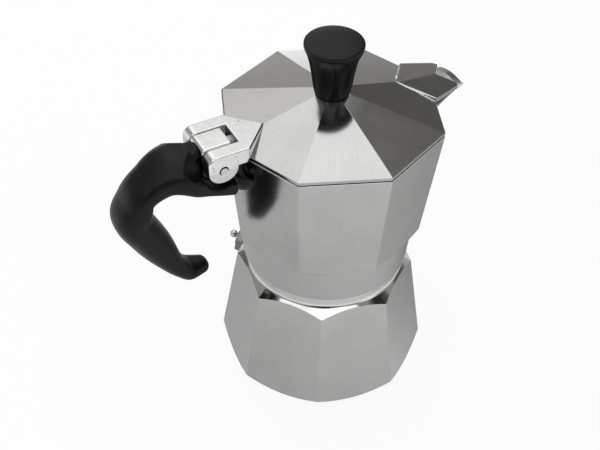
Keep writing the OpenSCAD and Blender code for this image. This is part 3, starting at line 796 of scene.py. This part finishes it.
@dataclass
class Collector:
    """The upper vessel: round skirt, eight flaring sides, the spout and the hinge's lug in one casting.

    Attributes:
        cut_r: Corner radius at cut_z, where the sides end over the skirt.
        column_r: Radius of the hole for the coffee column.
        seats: Profile of the rooms for the filter plate and the seal, as (radius, height, fillet).
    """

    rim_r: float = 45.36
    rim_z: float = 126.2
    cut_r: float = 39.75
    cut_z: float = 76.2
    skirt_z: float = 57.6
    skirt_r: float = 35.2
    wall: float = 2.8
    floor_z: float = 78.0
    rounding: float = 0.020
    spout: Spout = field(default_factory=Spout)
    column_r: float = 6.26
    seats: tuple = ((28.3, 72.7, 0.5), (28.3, 70.85, 0.3), (31.9, 70.85, 0.4), (31.9, 67.6, 0.3),
                    (32.75, 67.0, 0.2))
    thread: Thread = Thread(32.85, 31.95, 58.5, 66.6)

    @property
    def taper(self) -> float:
        """How much the corner radius grows with each millimetre of height."""
        return (self.rim_r - self.cut_r) / (self.rim_z - self.cut_z)

    def side_r(self, z: np.ndarray) -> np.ndarray:
        """Corner radius at a height."""
        return self.cut_r + self.taper * (z - self.cut_z)

    def columns(self) -> np.ndarray:
        """Columns for the eight sides, and close ones across the spout.

        Returns:
            The directions, in radians, in rising order.
        """
        plain = octagon_columns(self.rounding, flat_steps=14)
        plain = (plain + math.pi) % (2 * math.pi) - math.pi
        plain = plain[np.abs(plain) > math.radians(21.5)]
        close = np.concatenate([np.linspace(1.2, 21.3, 58), np.linspace(0.0, 1.05, 7)])
        close = np.radians(np.unique(np.concatenate([-close, close])))
        return np.sort(np.concatenate([plain, close]))

    def shell(self) -> Solid:
        """The whole casting but the lug, as one closed surface round the column's bore.

        Returns:
            The surface.
        """
        theta = self.columns()
        unit = unit_octagon(theta, self.rounding)
        taper = self.taper
        low_z = self.cut_z - 2.4
        low_r = float(self.side_r(low_z)) * FLAT - 0.02
        rise = (self.cut_z - low_z) / (self.cut_r - low_r)
        edge_z = (low_r - low_z / rise - (self.cut_r - taper * self.cut_z) * unit) / (taper * unit - 1 / rise)
        edge_z = np.maximum(edge_z, low_z + 0.05)
        top_reach = self.spout.reach(theta, np.full_like(theta, 200.0))
        rim = np.where(np.abs(theta) < 0.3, self.spout.rim(top_reach * np.cos(theta)), self.rim_z)

        def outside(z: np.ndarray) -> np.ndarray:
            """Outer distance of each column, side or spout."""
            return smooth_max(self.side_r(z) * unit, self.spout.reach(theta, z), 1.2)

        def inside(z: np.ndarray) -> np.ndarray:
            """Inner distance of each column, wall or channel."""
            plain = (self.side_r(z) - self.wall) * unit_octagon(theta, 0.05)
            return smooth_max(plain, self.spout.reach(theta, z, self.spout.wall), 0.8)

        keys = [(32.9, self.skirt_z, 0.3), (self.skirt_r - 0.15, self.skirt_z, 0.35)]
        keys += [(self.skirt_r, self.skirt_z + 1, 0), *span((self.skirt_r, self.skirt_z + 1), (low_r, low_z), 5)]
        keys += [(np.full_like(unit, low_r), low_z, 1.6)]
        skirt = len(rounded_rows(keys + [(40, 80, 0)])) - 1
        keys += [(self.side_r(edge_z) * unit, edge_z, 1.2)]
        for t in np.linspace(0, 1, 92)[1:-1]:
            z = edge_z + (rim - edge_z) * t
            keys.append((outside(z), z, 0))
        keys += [(outside(rim), rim, 0.4), (inside(rim), rim, 0.4)]
        sides = len(rounded_rows(keys)) - 6
        for t in np.linspace(0, 1, 80)[1:]:
            z = rim + (self.floor_z + 4 - rim) * t
            keys.append((inside(z), z, 0))
        keys += [(inside(np.full_like(theta, self.floor_z)), self.floor_z, 3.6), (20, self.floor_z, 0),
                 (9, self.floor_z, 1.5), (self.column_r, self.floor_z + 1.2, 0.2), (self.column_r, 74.6, 0.2),
                 *self.seats, *self.thread.keys(theta + math.pi)[::-1], (32.9, self.skirt_z, 0)]
        rows = rounded_rows(keys)[:-1]
        zones = np.full(len(rows), 2)
        zones[:skirt] = 1
        zones[skirt:sides] = 0
        return Solid.turned(theta, rows, zones, loop=True)

    def lug(self) -> Solid:
        """The block that carries the hinge's pin, cast with softly rounded edges.

        Returns:
            The surface.
        """
        hinge = HINGE
        back, front, top = -hinge.pin_x - 6, -hinge.pin_x + 6.2, hinge.top_z
        block = [(back, 118.5), (back, top), (front, top), (front, 118.0), (-42, 118.0), (-42, 111.9)]

        def shape(x: np.ndarray, y: np.ndarray, z: np.ndarray) -> np.ndarray:
            """Near-distance to the block, less the pin's bore."""
            side = round_corner(polygon_field(x, z, block), x, z, (back, top), 2.2)
            half = hinge.lug_w + 0.25 + 0.02 * np.minimum(z - hinge.pin_z, 0)
            solid = smooth_max(side, np.abs(y) - half, 0.9)
            pin = np.hypot(x + hinge.pin_x, z - hinge.pin_z) - hinge.lug_bore_r
            return np.maximum(solid, -pin)

        return net(shape, (back - 1, -5.9, 110.6), (-41, 5.9, top + 0.8), 0.21)

    def build(self) -> None:
        """Makes the vessel and its lug."""
        place_piece("collector_shell", self.shell(), [Finish.FACET, Finish.SKIRT, Finish.SHEET], "top",
                    ("collector",))
        place_piece("collector_lug", self.lug(), [Finish.CAST], "top", ("collector",), 60)


@dataclass(frozen=True)
class Hinge:
    """Sizes shared by the lid's ears, the collector's lug and the handle's fork."""

    pin_x: float = 51.84
    pin_z: float = 126.14
    ear_r: float = 6.2
    ear_w: float = 11.9
    slot_w: float = 5.6
    slot_x: float = 43.0
    lug_w: float = 5.0
    top_z: float = 132.8
    lug_bore_r: float = 1.56
    ear_bore_r: float = 1.8


HINGE = Hinge()


@dataclass
class Lid:
    """The lid: eight low facets, the spout's hood, and the hinge's plate with two ears.

    Attributes:
        eave: A corner of the hood's plan, as (x, y), as are hood_side, hood_end and notch.
        hood_fall: How far the hood's ridge falls for each millimetre outwards.
        hood_ridge: How far the hood falls for each millimetre to either side.
        hood_heading: Direction square to the hood's side walls, in the plan.
        hood_wall: Slope of these walls.
        hinge_cut: Distance from the axis at which the octagon ends under the hinge's plate.
    """

    rim_r: float = 45.36
    peak_z: float = 139.5
    edge_z: float = 128.1
    low_z: float = 126.55
    thick: float = 1.7
    flat_z: float = 137.87
    rounding: float = 0.014
    hood_start: float = 29.0
    eave: tuple[float, float] = (40.4, 13.35)
    hood_side: tuple[float, float] = (53.25, 8.95)
    hood_end: tuple[float, float] = (54.3, 7.0)
    notch: tuple[float, float] = (48.46, 0.0)
    hood_z: float = 132.3
    hood_fall: float = 0.1274
    hood_ridge: float = 0.127
    hood_heading: tuple[float, float] = (0.7921, 0.6104)
    hood_wall: float = 1.9
    hinge_cut: float = 42.3
    bore_r: float = 2.3
    rim_w: float = 2.4

    def top(self, x: np.ndarray, y: np.ndarray, facets: np.ndarray) -> np.ndarray:
        """Height of the upper side: facets, the small flat under the knob, and the raised hood.

        Args:
            x: Places towards the spout.
            y: Places across.
            facets: Share of the way from the axis to the octagon.

        Returns:
            The heights.
        """
        low = self.edge_z + (self.peak_z - self.edge_z) * (1 - facets)
        low = smooth_min(low, np.full_like(low, self.flat_z), 0.25)
        side = np.abs(y)
        past = x - self.hood_start
        hood = self.hood_z - self.hood_fall * past - self.hood_ridge * np.sqrt(side * side + 0.04)
        inward = past * self.hood_heading[0] - side * self.hood_heading[1]
        raised = smooth_min(hood, low + self.hood_wall * inward, 0.35)
        return np.where(inward > -0.5, smooth_max(low, raised, 0.25), low)

    def outline(self, theta: np.ndarray) -> np.ndarray:
        """Distance to the lid's edge: the octagon, the hood past it, its notch, and the hinge's cut.

        Args:
            theta: Directions, in radians.

        Returns:
            The distances.
        """
        octagon = self.rim_r * unit_octagon(theta, self.rounding)
        near = np.abs(theta) < 0.6
        turn = np.where(near, np.abs(theta), 0.0)

        def line(p: tuple, q: tuple) -> np.ndarray:
            """Distance to the straight line through two points of the plan."""
            return (p[0] * q[1] - p[1] * q[0]) / (np.cos(turn) * (q[1] - p[1]) - np.sin(turn) * (q[0] - p[0]))

        hood = smooth_min(line(self.eave, self.hood_side), line(self.hood_side, self.hood_end), 0.4)
        hood = smooth_min(hood, line(self.hood_end, self.notch), 0.4)
        edge = np.where(near, smooth_max(octagon, hood, 0.3), octagon)
        rear = np.abs(np.abs(theta) - math.pi) < 0.33
        return np.where(rear, np.minimum(edge, self.hinge_cut / np.abs(np.cos(theta))), edge)

    def shell(self) -> Solid:
        """Upper side, rim and hollow underside as one closed surface.

        Returns:
            The surface.
        """
        plain = (octagon_columns(self.rounding, flat_steps=12) + math.pi) % (2 * math.pi) - math.pi
        plain = plain[np.abs(plain) > math.radians(24)]
        close = np.radians(np.linspace(-24, 24, 193))
        theta = np.sort(np.concatenate([plain, close]))
        edge = self.outline(theta)
        unit = unit_octagon(theta, self.rounding)
        cos, sin = np.cos(theta), np.sin(theta)

        def top_at(r: np.ndarray) -> np.ndarray:
            """Height of the upper side at a distance from the axis."""
            return self.top(r * cos, r * sin, r / unit / self.rim_r)

        keys = [(np.full_like(theta, self.bore_r), self.flat_z - self.thick, 0.2)]
        inner = edge - self.rim_w
        for t in np.linspace(0, 1, 40)[1:]:
            r = self.bore_r + (inner - self.bore_r) * t
            keys.append((r, top_at(r) - self.thick, 0))
        keys += [(inner + 0.1, self.low_z, 0.3), (edge - 0.25, self.low_z, 0.25)]
        under = len(rounded_rows(keys + [(60, 126, 0)])) - 1
        brim = top_at(edge)
        keys += [(edge, brim - 0.1, 0.25)]
        for t in np.linspace(1, 0, 110)[1:]:
            r = self.bore_r + (edge - self.bore_r) * t
            keys.append((r, top_at(r), 0))
        rows = rounded_rows(keys)
        zones = np.full(len(rows), 1)
        zones[under - 2:-1] = 0
        return Solid.turned(theta, rows, zones, loop=True)

    def hinge(self) -> Solid:
        """The flat plate that runs to a point towards the knob, with the slot and the two ears.

        Returns:
            The surface.
        """
        h = HINGE
        plan = [(-29.5, 0.0), (-41.4, h.ear_w), (-60.0, h.ear_w), (-60.0, -h.ear_w), (-41.4, -h.ear_w)]
        back = -h.pin_x - h.ear_r
        block = [(back, h.pin_z), (back, h.top_z), (-28.0, h.top_z), (-28.0, 131.3), (-41.4, 128.0),
                 (-42.2, self.low_z), (-h.pin_x, self.low_z), (-h.pin_x, h.pin_z)]

        def shape(x: np.ndarray, y: np.ndarray, z: np.ndarray) -> np.ndarray:
            """Near-distance to the plate and ears, less the slot and the pin's bore."""
            from_pin = np.hypot(x + h.pin_x, z - h.pin_z)
            side = np.minimum(polygon_field(x, z, block), from_pin - h.ear_r)
            side = round_corner(side, x, z, (back, h.top_z), 3.7)
            draft = np.where(z < h.pin_z, 0.087 * (h.pin_z - z), 0.05 * (z - h.pin_z))
            outline = np.maximum(polygon_field(x, y, plan), np.abs(y) - h.ear_w + draft)
            solid = smooth_max(side, outline, 0.8)
            slot = np.maximum(np.abs(y) - h.slot_w, x + h.slot_x)
            solid = smooth_max(solid, -slot, 0.5)
            return smooth_max(solid, h.ear_bore_r - from_pin, 0.3)

        return net(shape, (back - 0.9, -12.7, 119.3), (-28.4, 12.7, h.top_z + 0.7), 0.22)

    def build(self) -> None:
        """Makes the lid and its hinge plate."""
        place_piece("lid_shell", self.shell(), [Finish.LID, Finish.SHEET], "lid", ("lid",), 25)
        place_piece("lid_hinge", self.hinge(), [Finish.CAST], "lid", ("lid",), 60)


@dataclass
class Knob:
    """The knob: a waisted black moulding with a domed top and hollows round its side.

    Attributes:
        bore: Radius and depth of the hole in its foot.
        dome: How far the top rises above its rim.
        profile: The side as (radius, height).
    """

    foot_z: float = 137.97
    top_z: float = 161.0
    bore: tuple[float, float] = (2.2, 9.0)
    rim_r: float = 11.6
    hollows: int = 8
    depth: float = 1.1
    hollow_z: float = 148.3
    hollow_h: float = 9.2
    dome: float = 1.25
    profile: tuple = ((7.1, 138.0), (7.25, 139.0), (7.5, 140.0), (7.8, 142.0), (8.05, 144.0), (8.35, 146.0),
                      (8.7, 148.0), (9.05, 150.0), (9.5, 152.0), (10.0, 154.0), (10.65, 156.0), (11.15, 157.0),
                      (11.55, 158.2))

    def shell(self) -> Solid:
        """Radius = turned profile less a hollow that repeats round the knob.

        A hollow is a tall oval: with phi the angle from its middle and h the height from its centre, its
        depth follows d = 1 - (phi / 15 degrees)^2 - |h / half height|^3 as 0.45 d + 0.55 sqrt(d). The top
        is the dome z = top - dome (r / rim radius)^2, with a rounded rim.

        Returns:
            The surface.
        """
        theta = np.linspace(0, 2 * math.pi, 320, endpoint=False)
        radius, height = np.array(self.profile).T
        heights = np.linspace(height[0] + 0.3, height[-1], 72)
        radii = np.interp(heights, height, radius)
        radii[3:-3] = np.convolve(radii, np.ones(7) / 7, "valid")
        pitch = 2 * math.pi / self.hollows
        across = ((theta + pitch / 2) % pitch - pitch / 2) / math.radians(15)
        bore_r, end_z = self.bore[0], self.foot_z + self.bore[1]
        keys = [(0, end_z, 0), (bore_r, end_z, 0.3), (bore_r, self.foot_z, 0.3),
                (radii[0] - 0.3, self.foot_z, 0.3)]
        for r, z in zip(radii, heights):
            inner = np.maximum(1 - across**2 - abs((z - self.hollow_z) / self.hollow_h) ** 3, 0)
            keys.append((r - self.depth * (0.45 * inner + 0.55 * np.sqrt(inner)), z, 0))
        keys.append((self.rim_r, self.top_z - self.dome, 0.7))
        for r in (10.2, 9.2, 8.0, 6.6, 5.0, 3.4, 1.7, 0.0):
            keys.append((r, self.top_z - self.dome * (r / self.rim_r) ** 2, 0))
        return Solid.turned(theta, rounded_rows(keys))

    def build(self) -> None:
        """Makes the knob."""
        place_piece("knob_moulding", self.shell(), [Finish.PLASTIC], "lid", ("knob",), 60)


@dataclass
class Handle:
    """The handle: fork and saddle at the hinge, and an open hook for the fingers.

    Attributes:
        crown: Where the crown starts to fall off, its height, and the factor of its fall.
        vessel: The collector's corner radius, the height at which it holds, and the flare.
        swing: The lid's opening angle that the crown leaves room for.
        screw: Radii of the screw's bore and of its head's room, and the height where that room ends.
        stations: The grip's middle line and half sizes, as (x, z, half depth, half width).
        fork: The fork's side view, as (x, z).
    """

    fork_half: float = 12.85
    fork_z: float = 124.6
    crown: tuple[float, float, float] = (58.0, 134.0, 0.029)
    pad_z: float = 118.5
    pad_r: float = 12.0
    vessel: tuple[float, float, float] = (39.75, 76.2, 0.1122)
    ear_room_r: float = 8.35
    swing: float = math.radians(110.3)
    screw: tuple[float, float, float] = (1.75, 3.3, 113.2)
    stations: tuple = ((-62.0, 123.4, 7.7, 12.5), (-71.5, 123.85, 5.7, 10.8), (-80.6, 119.1, 5.0, 9.3),
                       (-83.8, 112.9, 5.9, 10.0), (-85.6, 107.2, 6.9, 9.7), (-81.6, 99.3, 7.2, 9.3),
                       (-77.0, 90.6, 6.7, 8.6), (-71.7, 80.4, 4.7, 8.0), (-68.6, 75.6, 3.7, 7.5),
                       (-65.3, 71.9, 3.3, 6.8), (-61.8, 70.9, 3.3, 5.6), (-58.6, 70.6, 3.25, 4.2))
    fork: tuple = ((-76.0, 126.0), (-76.0, 140.0), (-45.9, 140.0), (-45.9, 113.6), (-46.9, 112.4),
                   (-48.3, 112.5), (-53.2, 114.3), (-58.1, 116.3), (-62.3, 118.2), (-66.4, 120.4),
                   (-72.8, 124.0))

    def middle_line(self) -> np.ndarray:
        """The grip's stations, drawn out along a Catmull-Rom curve.

        Returns:
            Array of points (x, z, half depth, half width).
        """
        key = np.array(self.stations)
        key = np.concatenate([key[:1], key, key[-1:]])
        t = np.linspace(0, 1, 14, endpoint=False)[:, None]
        parts = [b + t / 2 * (c - a + t * (2 * a - 5 * b + 4 * c - d + t * (3 * (b - c) + d - a)))
                 for a, b, c, d in zip(key[:-3], key[1:-2], key[2:-1], key[3:])]
        return np.concatenate([*parts, key[-1:]])

    def grip(self, x: np.ndarray, y: np.ndarray, z: np.ndarray) -> np.ndarray:
        """Near-distance to a tube of oval sections round the middle line.

        Each place in the middle plane takes its distance d and half sizes a and b from the point of the
        line for which d / a is least; the three maps are softened so that no crease is left in the tube.

        Args:
            x: Places towards the spout.
            y: Places across.
            z: Heights.

        Returns:
            The field, negative inside.
        """
        line = self.middle_line()
        start, step = line[:-1], np.diff(line, axis=0)
        px, pz = np.broadcast_arrays(x[:, 0, :], z[:, 0, :])
        flat = np.stack([px.ravel(), pz.ravel()], -1)
        t = ((flat[:, None, :] - start[None, :, :2]) * step[None, :, :2]).sum(-1) / (step[:, :2] ** 2).sum(-1)
        t = np.clip(t, 0, 1)
        gap = np.linalg.norm(flat[:, None] - start[None, :, :2] - t[..., None] * step[None, :, :2], axis=-1)
        near = (gap / (start[:, 2] + t * step[:, 2])).argmin(1)
        rows = np.arange(len(near))
        here = start[near] + t[rows, near][:, None] * step[near]
        maps = [m.reshape(px.shape) for m in (gap[rows, near], here[:, 2], here[:, 3])]
        d, a, b = (soften(m, 5)[:, None, :] for m in maps)
        return self.oval(d, np.abs(y), a, b, 2.4)

    @staticmethod
    def oval(u: np.ndarray, v: np.ndarray, a: np.ndarray, b: np.ndarray, p: float) -> np.ndarray:
        """Near-distance to the superellipse (u / a)^p + (v / b)^p = 1, from its value over its gradient.

        Args:
            u: Places along the first axis.
            v: Places along the second.
            a: Half size along the first axis.
            b: Half size along the second.
            p: How square the oval is.

        Returns:
            The near-distance, negative inside.
        """
        u, v = u / a, v / b
        size = np.maximum((u**p + v**p) ** (1 / p), 1e-3)
        slope = np.hypot(u ** (p - 1) / a, v ** (p - 1) / b) * size ** (1 - p)
        return (size - 1) / np.maximum(slope, 0.04)

    def shape(self, x: np.ndarray, y: np.ndarray, z: np.ndarray) -> np.ndarray:
        """The whole moulding: grip, fork and saddle blended, less the rooms for lug, lid and vessel.

        Args:
            x: Places towards the spout.
            y: Places across.
            z: Heights.

        Returns:
            The field, negative inside.
        """
        h = HINGE
        side = np.abs(y)
        from_pin = x + h.pin_x, z - h.pin_z
        body = smooth_min(self.grip(x, y, z), self.fork_block(x, side, z), 3.5)
        base_r, base_z, flare = self.vessel
        vessel = (-x * FLAT + side * math.sin(HALF_SIDE)) - (base_r + flare * (z - base_z)) * FLAT
        round_pad = np.hypot(y, z - self.pad_z) + 0 * x
        saddle = vessel - 1.1 - 2.4 * (1 - (round_pad / self.pad_r) ** 2)
        body = smooth_min(body, smooth_max(saddle, round_pad - self.pad_r, 0.8), 1.0)
        body = smooth_max(body, 0.2 - vessel, 0.4)
        slot_line = [(-58.14, 150.0), (-58.14, 118.3), (-38.0, 109.5), (-38.0, 150.0)]
        slot = np.maximum(polygon_field(x, z, slot_line), side - h.lug_w - 0.45)
        body = smooth_max(body, -slot, 0.5)
        body = smooth_max(body, -self.ear_room(x, side, z), 0.7)
        room = np.maximum(np.hypot(*from_pin) - self.ear_room_r, h.lug_w - 0.3 - side)
        body = smooth_max(body, -room, 0.6)
        body = smooth_max(body, -self.swept(*from_pin, side), 0.6)
        screw_r, head_r, head_z = self.screw
        return np.maximum(body, np.where(z < head_z, head_r, screw_r) - np.hypot(from_pin[0], y))

    def fork_block(self, x: np.ndarray, side: np.ndarray, z: np.ndarray) -> np.ndarray:
        """The fork before its rooms are cut: its side view drawn out to an oval.

        The crown falls off past its start as z = crown - 0.029 (distance)^2, and the fork narrows both
        towards the vessel and towards the grip.

        Args:
            x: Places towards the spout.
            side: Distances from the middle plane.
            z: Heights.

        Returns:
            The field, negative inside.
        """
        start, crown_z, fall = self.crown
        half = self.fork_half - 0.06 * np.maximum(x + 60, 0) - 0.42 * np.maximum(-64 - x, 0)
        tall = 6.4 + 2.9 * ease(-68, -59.5, x)
        oval = self.oval(np.maximum(z - self.fork_z, 0) + 0 * side, side, tall, half, 2.2)
        past = np.maximum(-start - x, 0)
        crown = (z - crown_z + fall * past**2) / np.hypot(1, 2 * fall * past)
        return smooth_max(np.maximum(polygon_field(x, z, list(self.fork)), crown) + 0 * side, oval, 1.8)

    @staticmethod
    def ear_room(x: np.ndarray, side: np.ndarray, z: np.ndarray) -> np.ndarray:
        """The room beside the neck, above a floor that follows the ears and rises to a lip outside.

        Args:
            x: Places towards the spout.
            side: Distances from the middle plane.
            z: Heights.

        Returns:
            The field, negative inside.
        """
        back = -46 - x
        lip = 118.3 + 0.15 * back + 0.0165 * back * back
        drop = np.sqrt(np.maximum(7.9**2 - (x + HINGE.pin_x) ** 2, 0))
        floor = np.minimum(lip - 0.6, np.where(drop > 0, HINGE.pin_z - drop, 200.0))
        floor = floor + (lip - floor) * ease(11.9, 12.9, side)
        neck = 7.4 + 6 * (np.maximum(-58 - x, 0) / 10.6) ** 2 - 3.6 * (np.maximum(z - 125, 0) / 6.5) ** 2
        return smooth_max(neck - side, floor - z, 3.0)

    def swept(self, x: np.ndarray, z: np.ndarray, side: np.ndarray) -> np.ndarray:
        """The room that the opened lid's plate takes, from places measured from the pin.

        Args:
            x: Places from the pin, towards the spout.
            z: Heights above the pin.
            side: Distances from the middle plane.

        Returns:
            The field, negative inside.
        """
        along = x * math.cos(self.swing) + z * math.sin(self.swing)
        across = -x * math.sin(self.swing) + z * math.cos(self.swing)
        beyond = np.minimum(5.2 - side, 8.4 - along)
        return np.maximum(np.maximum(across - 6.9, -along), np.maximum(beyond, -across))

    def build(self) -> None:
        """Makes the handle."""
        solid = net(self.shape, (-94.0, -13.9, 65.2), (-39.4, 13.9, 134.9), 0.42)
        place_piece("handle_moulding", solid, [Finish.PLASTIC], "top", ("handle",), 60)


@dataclass
class Funnel:
    """The funnel's pressed basket, with a flat rolled rim and a cone down to the stem's collar."""

    rim_r: float = 31.0
    rim_z: float = 67.3
    basket_r: float = 27.9
    basket_z: float = 47.8
    collar_r: float = 5.6
    sheet: float = 0.6

    def build(self) -> None:
        """Makes the basket."""
        theta = np.linspace(0, 2 * math.pi, 144, endpoint=False)
        cone_z = self.basket_z - 6.5
        out = self.basket_r
        keys = [(self.collar_r, cone_z - 5, 0.1), (self.collar_r, cone_z - 0.3, 0.6),
                (out - 0.3, self.basket_z - 0.4, 1.6), (out, self.basket_z + 6, 0), (out, self.rim_z - 0.76, 0.4),
                (self.rim_r - 0.1, self.rim_z - 0.76, 0.35), (self.rim_r, self.rim_z - 0.4, 0.3),
                (self.rim_r - 0.2, self.rim_z, 0.35), (out - self.sheet, self.rim_z, 0.8),
                (out - self.sheet, self.basket_z + 5, 0), (out - self.sheet, self.basket_z, 1.2),
                (5.04, cone_z, 0.5), (5.04, cone_z - 5, 0.1)]
        rows = rounded_rows([*keys, (self.collar_r, cone_z - 5, 0)], 4)[:-1]
        solid = Solid.turned(theta, rows, loop=True)
        place_piece("funnel_cup", solid, [Finish.SHEET], "funnel", ("funnel_basket",))


def dress_nodes() -> None:
    """Gives the construction nodes that stay in view their finishes."""
    worn = {"valve_body": Finish.NICKEL, "valve_washer": Finish.FIBRE, "valve_seat": Finish.BRASS,
            "valve_stem": Finish.STEEL, "valve_spring": Finish.STEEL, "funnel_stem": Finish.SHEET,
            "funnel_strainer": Finish.SHEET, "gasket": Finish.RUBBER, "filter_plate": Finish.SHEET,
            "column": Finish.SHEET, "handle_screw": Finish.STEEL, "hinge_pin": Finish.STEEL,
            "knob_insert": Finish.BRASS, "knob_screw": Finish.STEEL, "knob_washer": Finish.STEEL}
    for node, finish in worn.items():
        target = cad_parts[node]
        target.data.materials.clear()
        target.data.materials.append(SHADES.get(finish))
        LOG.info("%s wears %s", node, finish.value.name)


# ---------------------------------------------------------------- studio

@dataclass
class Studio:
    """Camera, softboxes, room and floor.

    Attributes:
        camera_at: The camera's place in millimetres; its three angles are in degrees.
        sky: The room's colours, from straight down at 0 to straight up at 1.
        camera_share: The floor's own light in what the camera sees, as glossy_share is in reflections.
    """

    camera_at: tuple[float, float, float] = (-184.0, -300.9, 398.1)
    azimuth: float = -29.675
    elevation: float = 43.254
    roll: float = 1.614
    lens: float = 68.12
    softboxes: tuple = ((-1.05, 1.1, -0.35, 0.2, 1.28), (-1.05, 1.1, 0.2, 1.1, 1.1), (1.1, 2.1, -0.35, 1.1, 0.78),
                        (-1.3, -0.35, -0.85, -0.35, 1.28))
    softbox_turn: float = 54.2
    softbox_z: float = 1.2
    shades: tuple = ((-118.0, 26.0, 7.0, 24.0, 0.05), (-60.0, 22.0, 8.0, 16.0, 2.6), (180.0, 14.0, 6.0, 16.0, 0.5),
                     (35.0, 26.0, 6.0, 36.0, 0.42), (67.0, -4.0, 5.0, 14.0, 1.8),
                     (-35.0, 43.0, 5.0, 13.0, 0.1), (-3.0, 20.0, 5.0, 16.0, 0.25), (112.0, 12.0, 5.0, 17.0, 0.3))
    sky: tuple = ((0.0, (1.15, 1.15, 1.15)), (0.54, (1.15, 1.15, 1.15)), (0.572, (0.62, 0.60, 0.575)),
                  (0.62, (0.60, 0.58, 0.55)), (0.72, (0.38, 0.36, 0.34)), (1.0, (0.34, 0.33, 0.32)))
    floor_half: float = 4.0
    camera_share: float = 0.9
    glossy_share: float = 0.7

    def camera(self) -> None:
        """Looks back along the direction of the azimuth and elevation, turned by the roll."""
        a, e, r = (math.radians(v) for v in (self.azimuth, self.elevation, self.roll))
        back = Vector((math.sin(a) * math.cos(e), -math.cos(a) * math.cos(e), math.sin(e)))
        level = Vector((math.cos(a), math.sin(a), 0))
        up = back.cross(level)
        right = level * math.cos(r) + up * math.sin(r)
        up = up * math.cos(r) - level * math.sin(r)
        data = bpy.data.cameras.new("camera")
        data.lens, data.sensor_width = self.lens, 36.0
        data.clip_start, data.clip_end = 0.01, 20.0
        camera = bpy.data.objects.new("camera", data)
        turn = Matrix((right, up, back)).transposed().to_4x4()
        camera.matrix_world = Matrix.Translation(Vector(self.camera_at) * MM) @ turn
        bpy.context.scene.collection.objects.link(camera)
        bpy.context.scene.camera = camera

    def lamps(self) -> None:
        """Level lamps above the pot, each a rectangle in a plan turned from the room's.

        Each has its two limits along and across the turned plan, in metres, and the light it gives.
        """
        turn = math.radians(self.softbox_turn)
        for number, (u0, u1, v0, v1, light) in enumerate(self.softboxes):
            data = bpy.data.lights.new(f"softbox_{number}", "AREA")
            data.shape, data.size, data.size_y = "RECTANGLE", u1 - u0, v1 - v0
            data.energy = light * (u1 - u0) * (v1 - v0) * math.pi
            lamp = bpy.data.objects.new(f"softbox_{number}", data)
            u, v = (u0 + u1) / 2, (v0 + v1) / 2
            lamp.location = (u * math.cos(turn) - v * math.sin(turn), u * math.sin(turn) + v * math.cos(turn),
                             self.softbox_z)
            lamp.rotation_euler = (0, 0, turn)
            bpy.context.scene.collection.objects.link(lamp)

    def room(self) -> None:
        """White near the horizon, darker and warmer overhead, with a few darker and brighter places.

        Each shade has an azimuth, an elevation, the angles from its middle at which it starts to fade and
        ends, and the share of light that it leaves.
        """
        world = bpy.data.worlds.new("room")
        world.use_nodes = True
        bpy.context.scene.world = world
        paint = Paint(world.node_tree)
        direction = paint.node("ShaderNodeTexCoord", output="Generated")
        _, _, z = paint.split(direction)
        colour = paint.node("ShaderNodeValToRGB", {"stops": self.sky}, {0: z * 0.5 + 0.5})
        for azimuth, elevation, full, end, left in self.shades:
            a, e = math.radians(azimuth), math.radians(elevation)
            towards = (math.cos(a) * math.cos(e), math.sin(a) * math.cos(e), math.sin(e))
            facing = paint.node("ShaderNodeVectorMath", {"operation": "DOT_PRODUCT"},
                                {0: direction, 1: towards}, output="Value")
            share = 1 - facing.ease(math.cos(math.radians(end)), math.cos(math.radians(full))) * (1 - left)
            colour = paint.node("ShaderNodeVectorMath", {"operation": "SCALE"}, {0: colour, "Scale": share})
        background = paint.node("ShaderNodeBackground", None, {"Color": colour, "Strength": 1.0})
        paint.node("ShaderNodeOutputWorld", None, {"Surface": background})

    def floor(self) -> None:
        """A wide white sheet that shows as white but keeps a soft shadow.

        Reflections meet it with painted shade: darker close to the pot, as if in its shadow, and darker still
        close behind it; brighter away from the pot.
        """
        half = self.floor_half
        mesh = bpy.data.meshes.new("floor")
        corners = [(-half, -half, 0), (half, -half, 0), (half, half, 0), (-half, half, 0)]
        mesh.from_pydata(corners, [], [(0, 1, 2, 3)])
        floor = bpy.data.objects.new("floor", mesh)
        bpy.context.scene.collection.objects.link(floor)
        material, paint = blank("white_sheet_with_painted_shade")
        ray = paint.node("ShaderNodeLightPath").socket.node.outputs
        camera, glossy = (Wire(paint, ray[f"Is {kind} Ray"]) for kind in ("Camera", "Glossy"))
        seen = camera * self.camera_share + glossy * self.glossy_share
        x, y, _ = paint.split(paint.place())
        # Painted shadow of the pot, seen only in reflections: the sheet's glow dims near the pot and on the side
        # behind it.
        far = (x * x + y * y) ** 0.5
        across, ahead = x / (far + 0.02), (x * 0.09 - y) / (far + 0.02)
        side = (1 - ahead.ease(-0.2, 1.0)) * (1 - far.ease(0.25, 0.6)) * (across * 0.38 + 0.6)
        bright = (far.ease(0.06, 0.26) * 0.42 + 0.88) * (1 - side)
        bright = bright * (1 - camera) + camera
        sheet = paint.node("ShaderNodeBsdfDiffuse", None, {"Color": (0.93, 0.93, 0.93, 1.0)})
        tone = paint.node("ShaderNodeVectorMath", {"operation": "SCALE"}, {0: (1.0, 1.0, 1.0), "Scale": bright})
        white = paint.node("ShaderNodeEmission", None, {"Color": tone, "Strength": 1.0})
        mixed = paint.node("ShaderNodeMixShader", None, {0: seen, 1: sheet, 2: white})
        paint.node("ShaderNodeOutputMaterial", None, {"Surface": mixed})
        mesh.materials.append(material)

    def build(self) -> None:
        """Sets the stage."""
        self.camera()
        self.lamps()
        self.room()
        self.floor()
        bpy.context.scene.view_settings.view_transform = "Standard"


def main() -> None:
    """Builds the studio and every piece, in order."""
    logging.basicConfig(level=logging.INFO, format="%(message)s")
    Studio().build()
    for part in (Boiler(), Collector(), Lid(), Knob(), Handle(), Funnel()):
        LOG.info("building the %s", type(part).__name__.lower())
        part.build()
    dress_nodes()


if __name__ == "__main__":
    main()
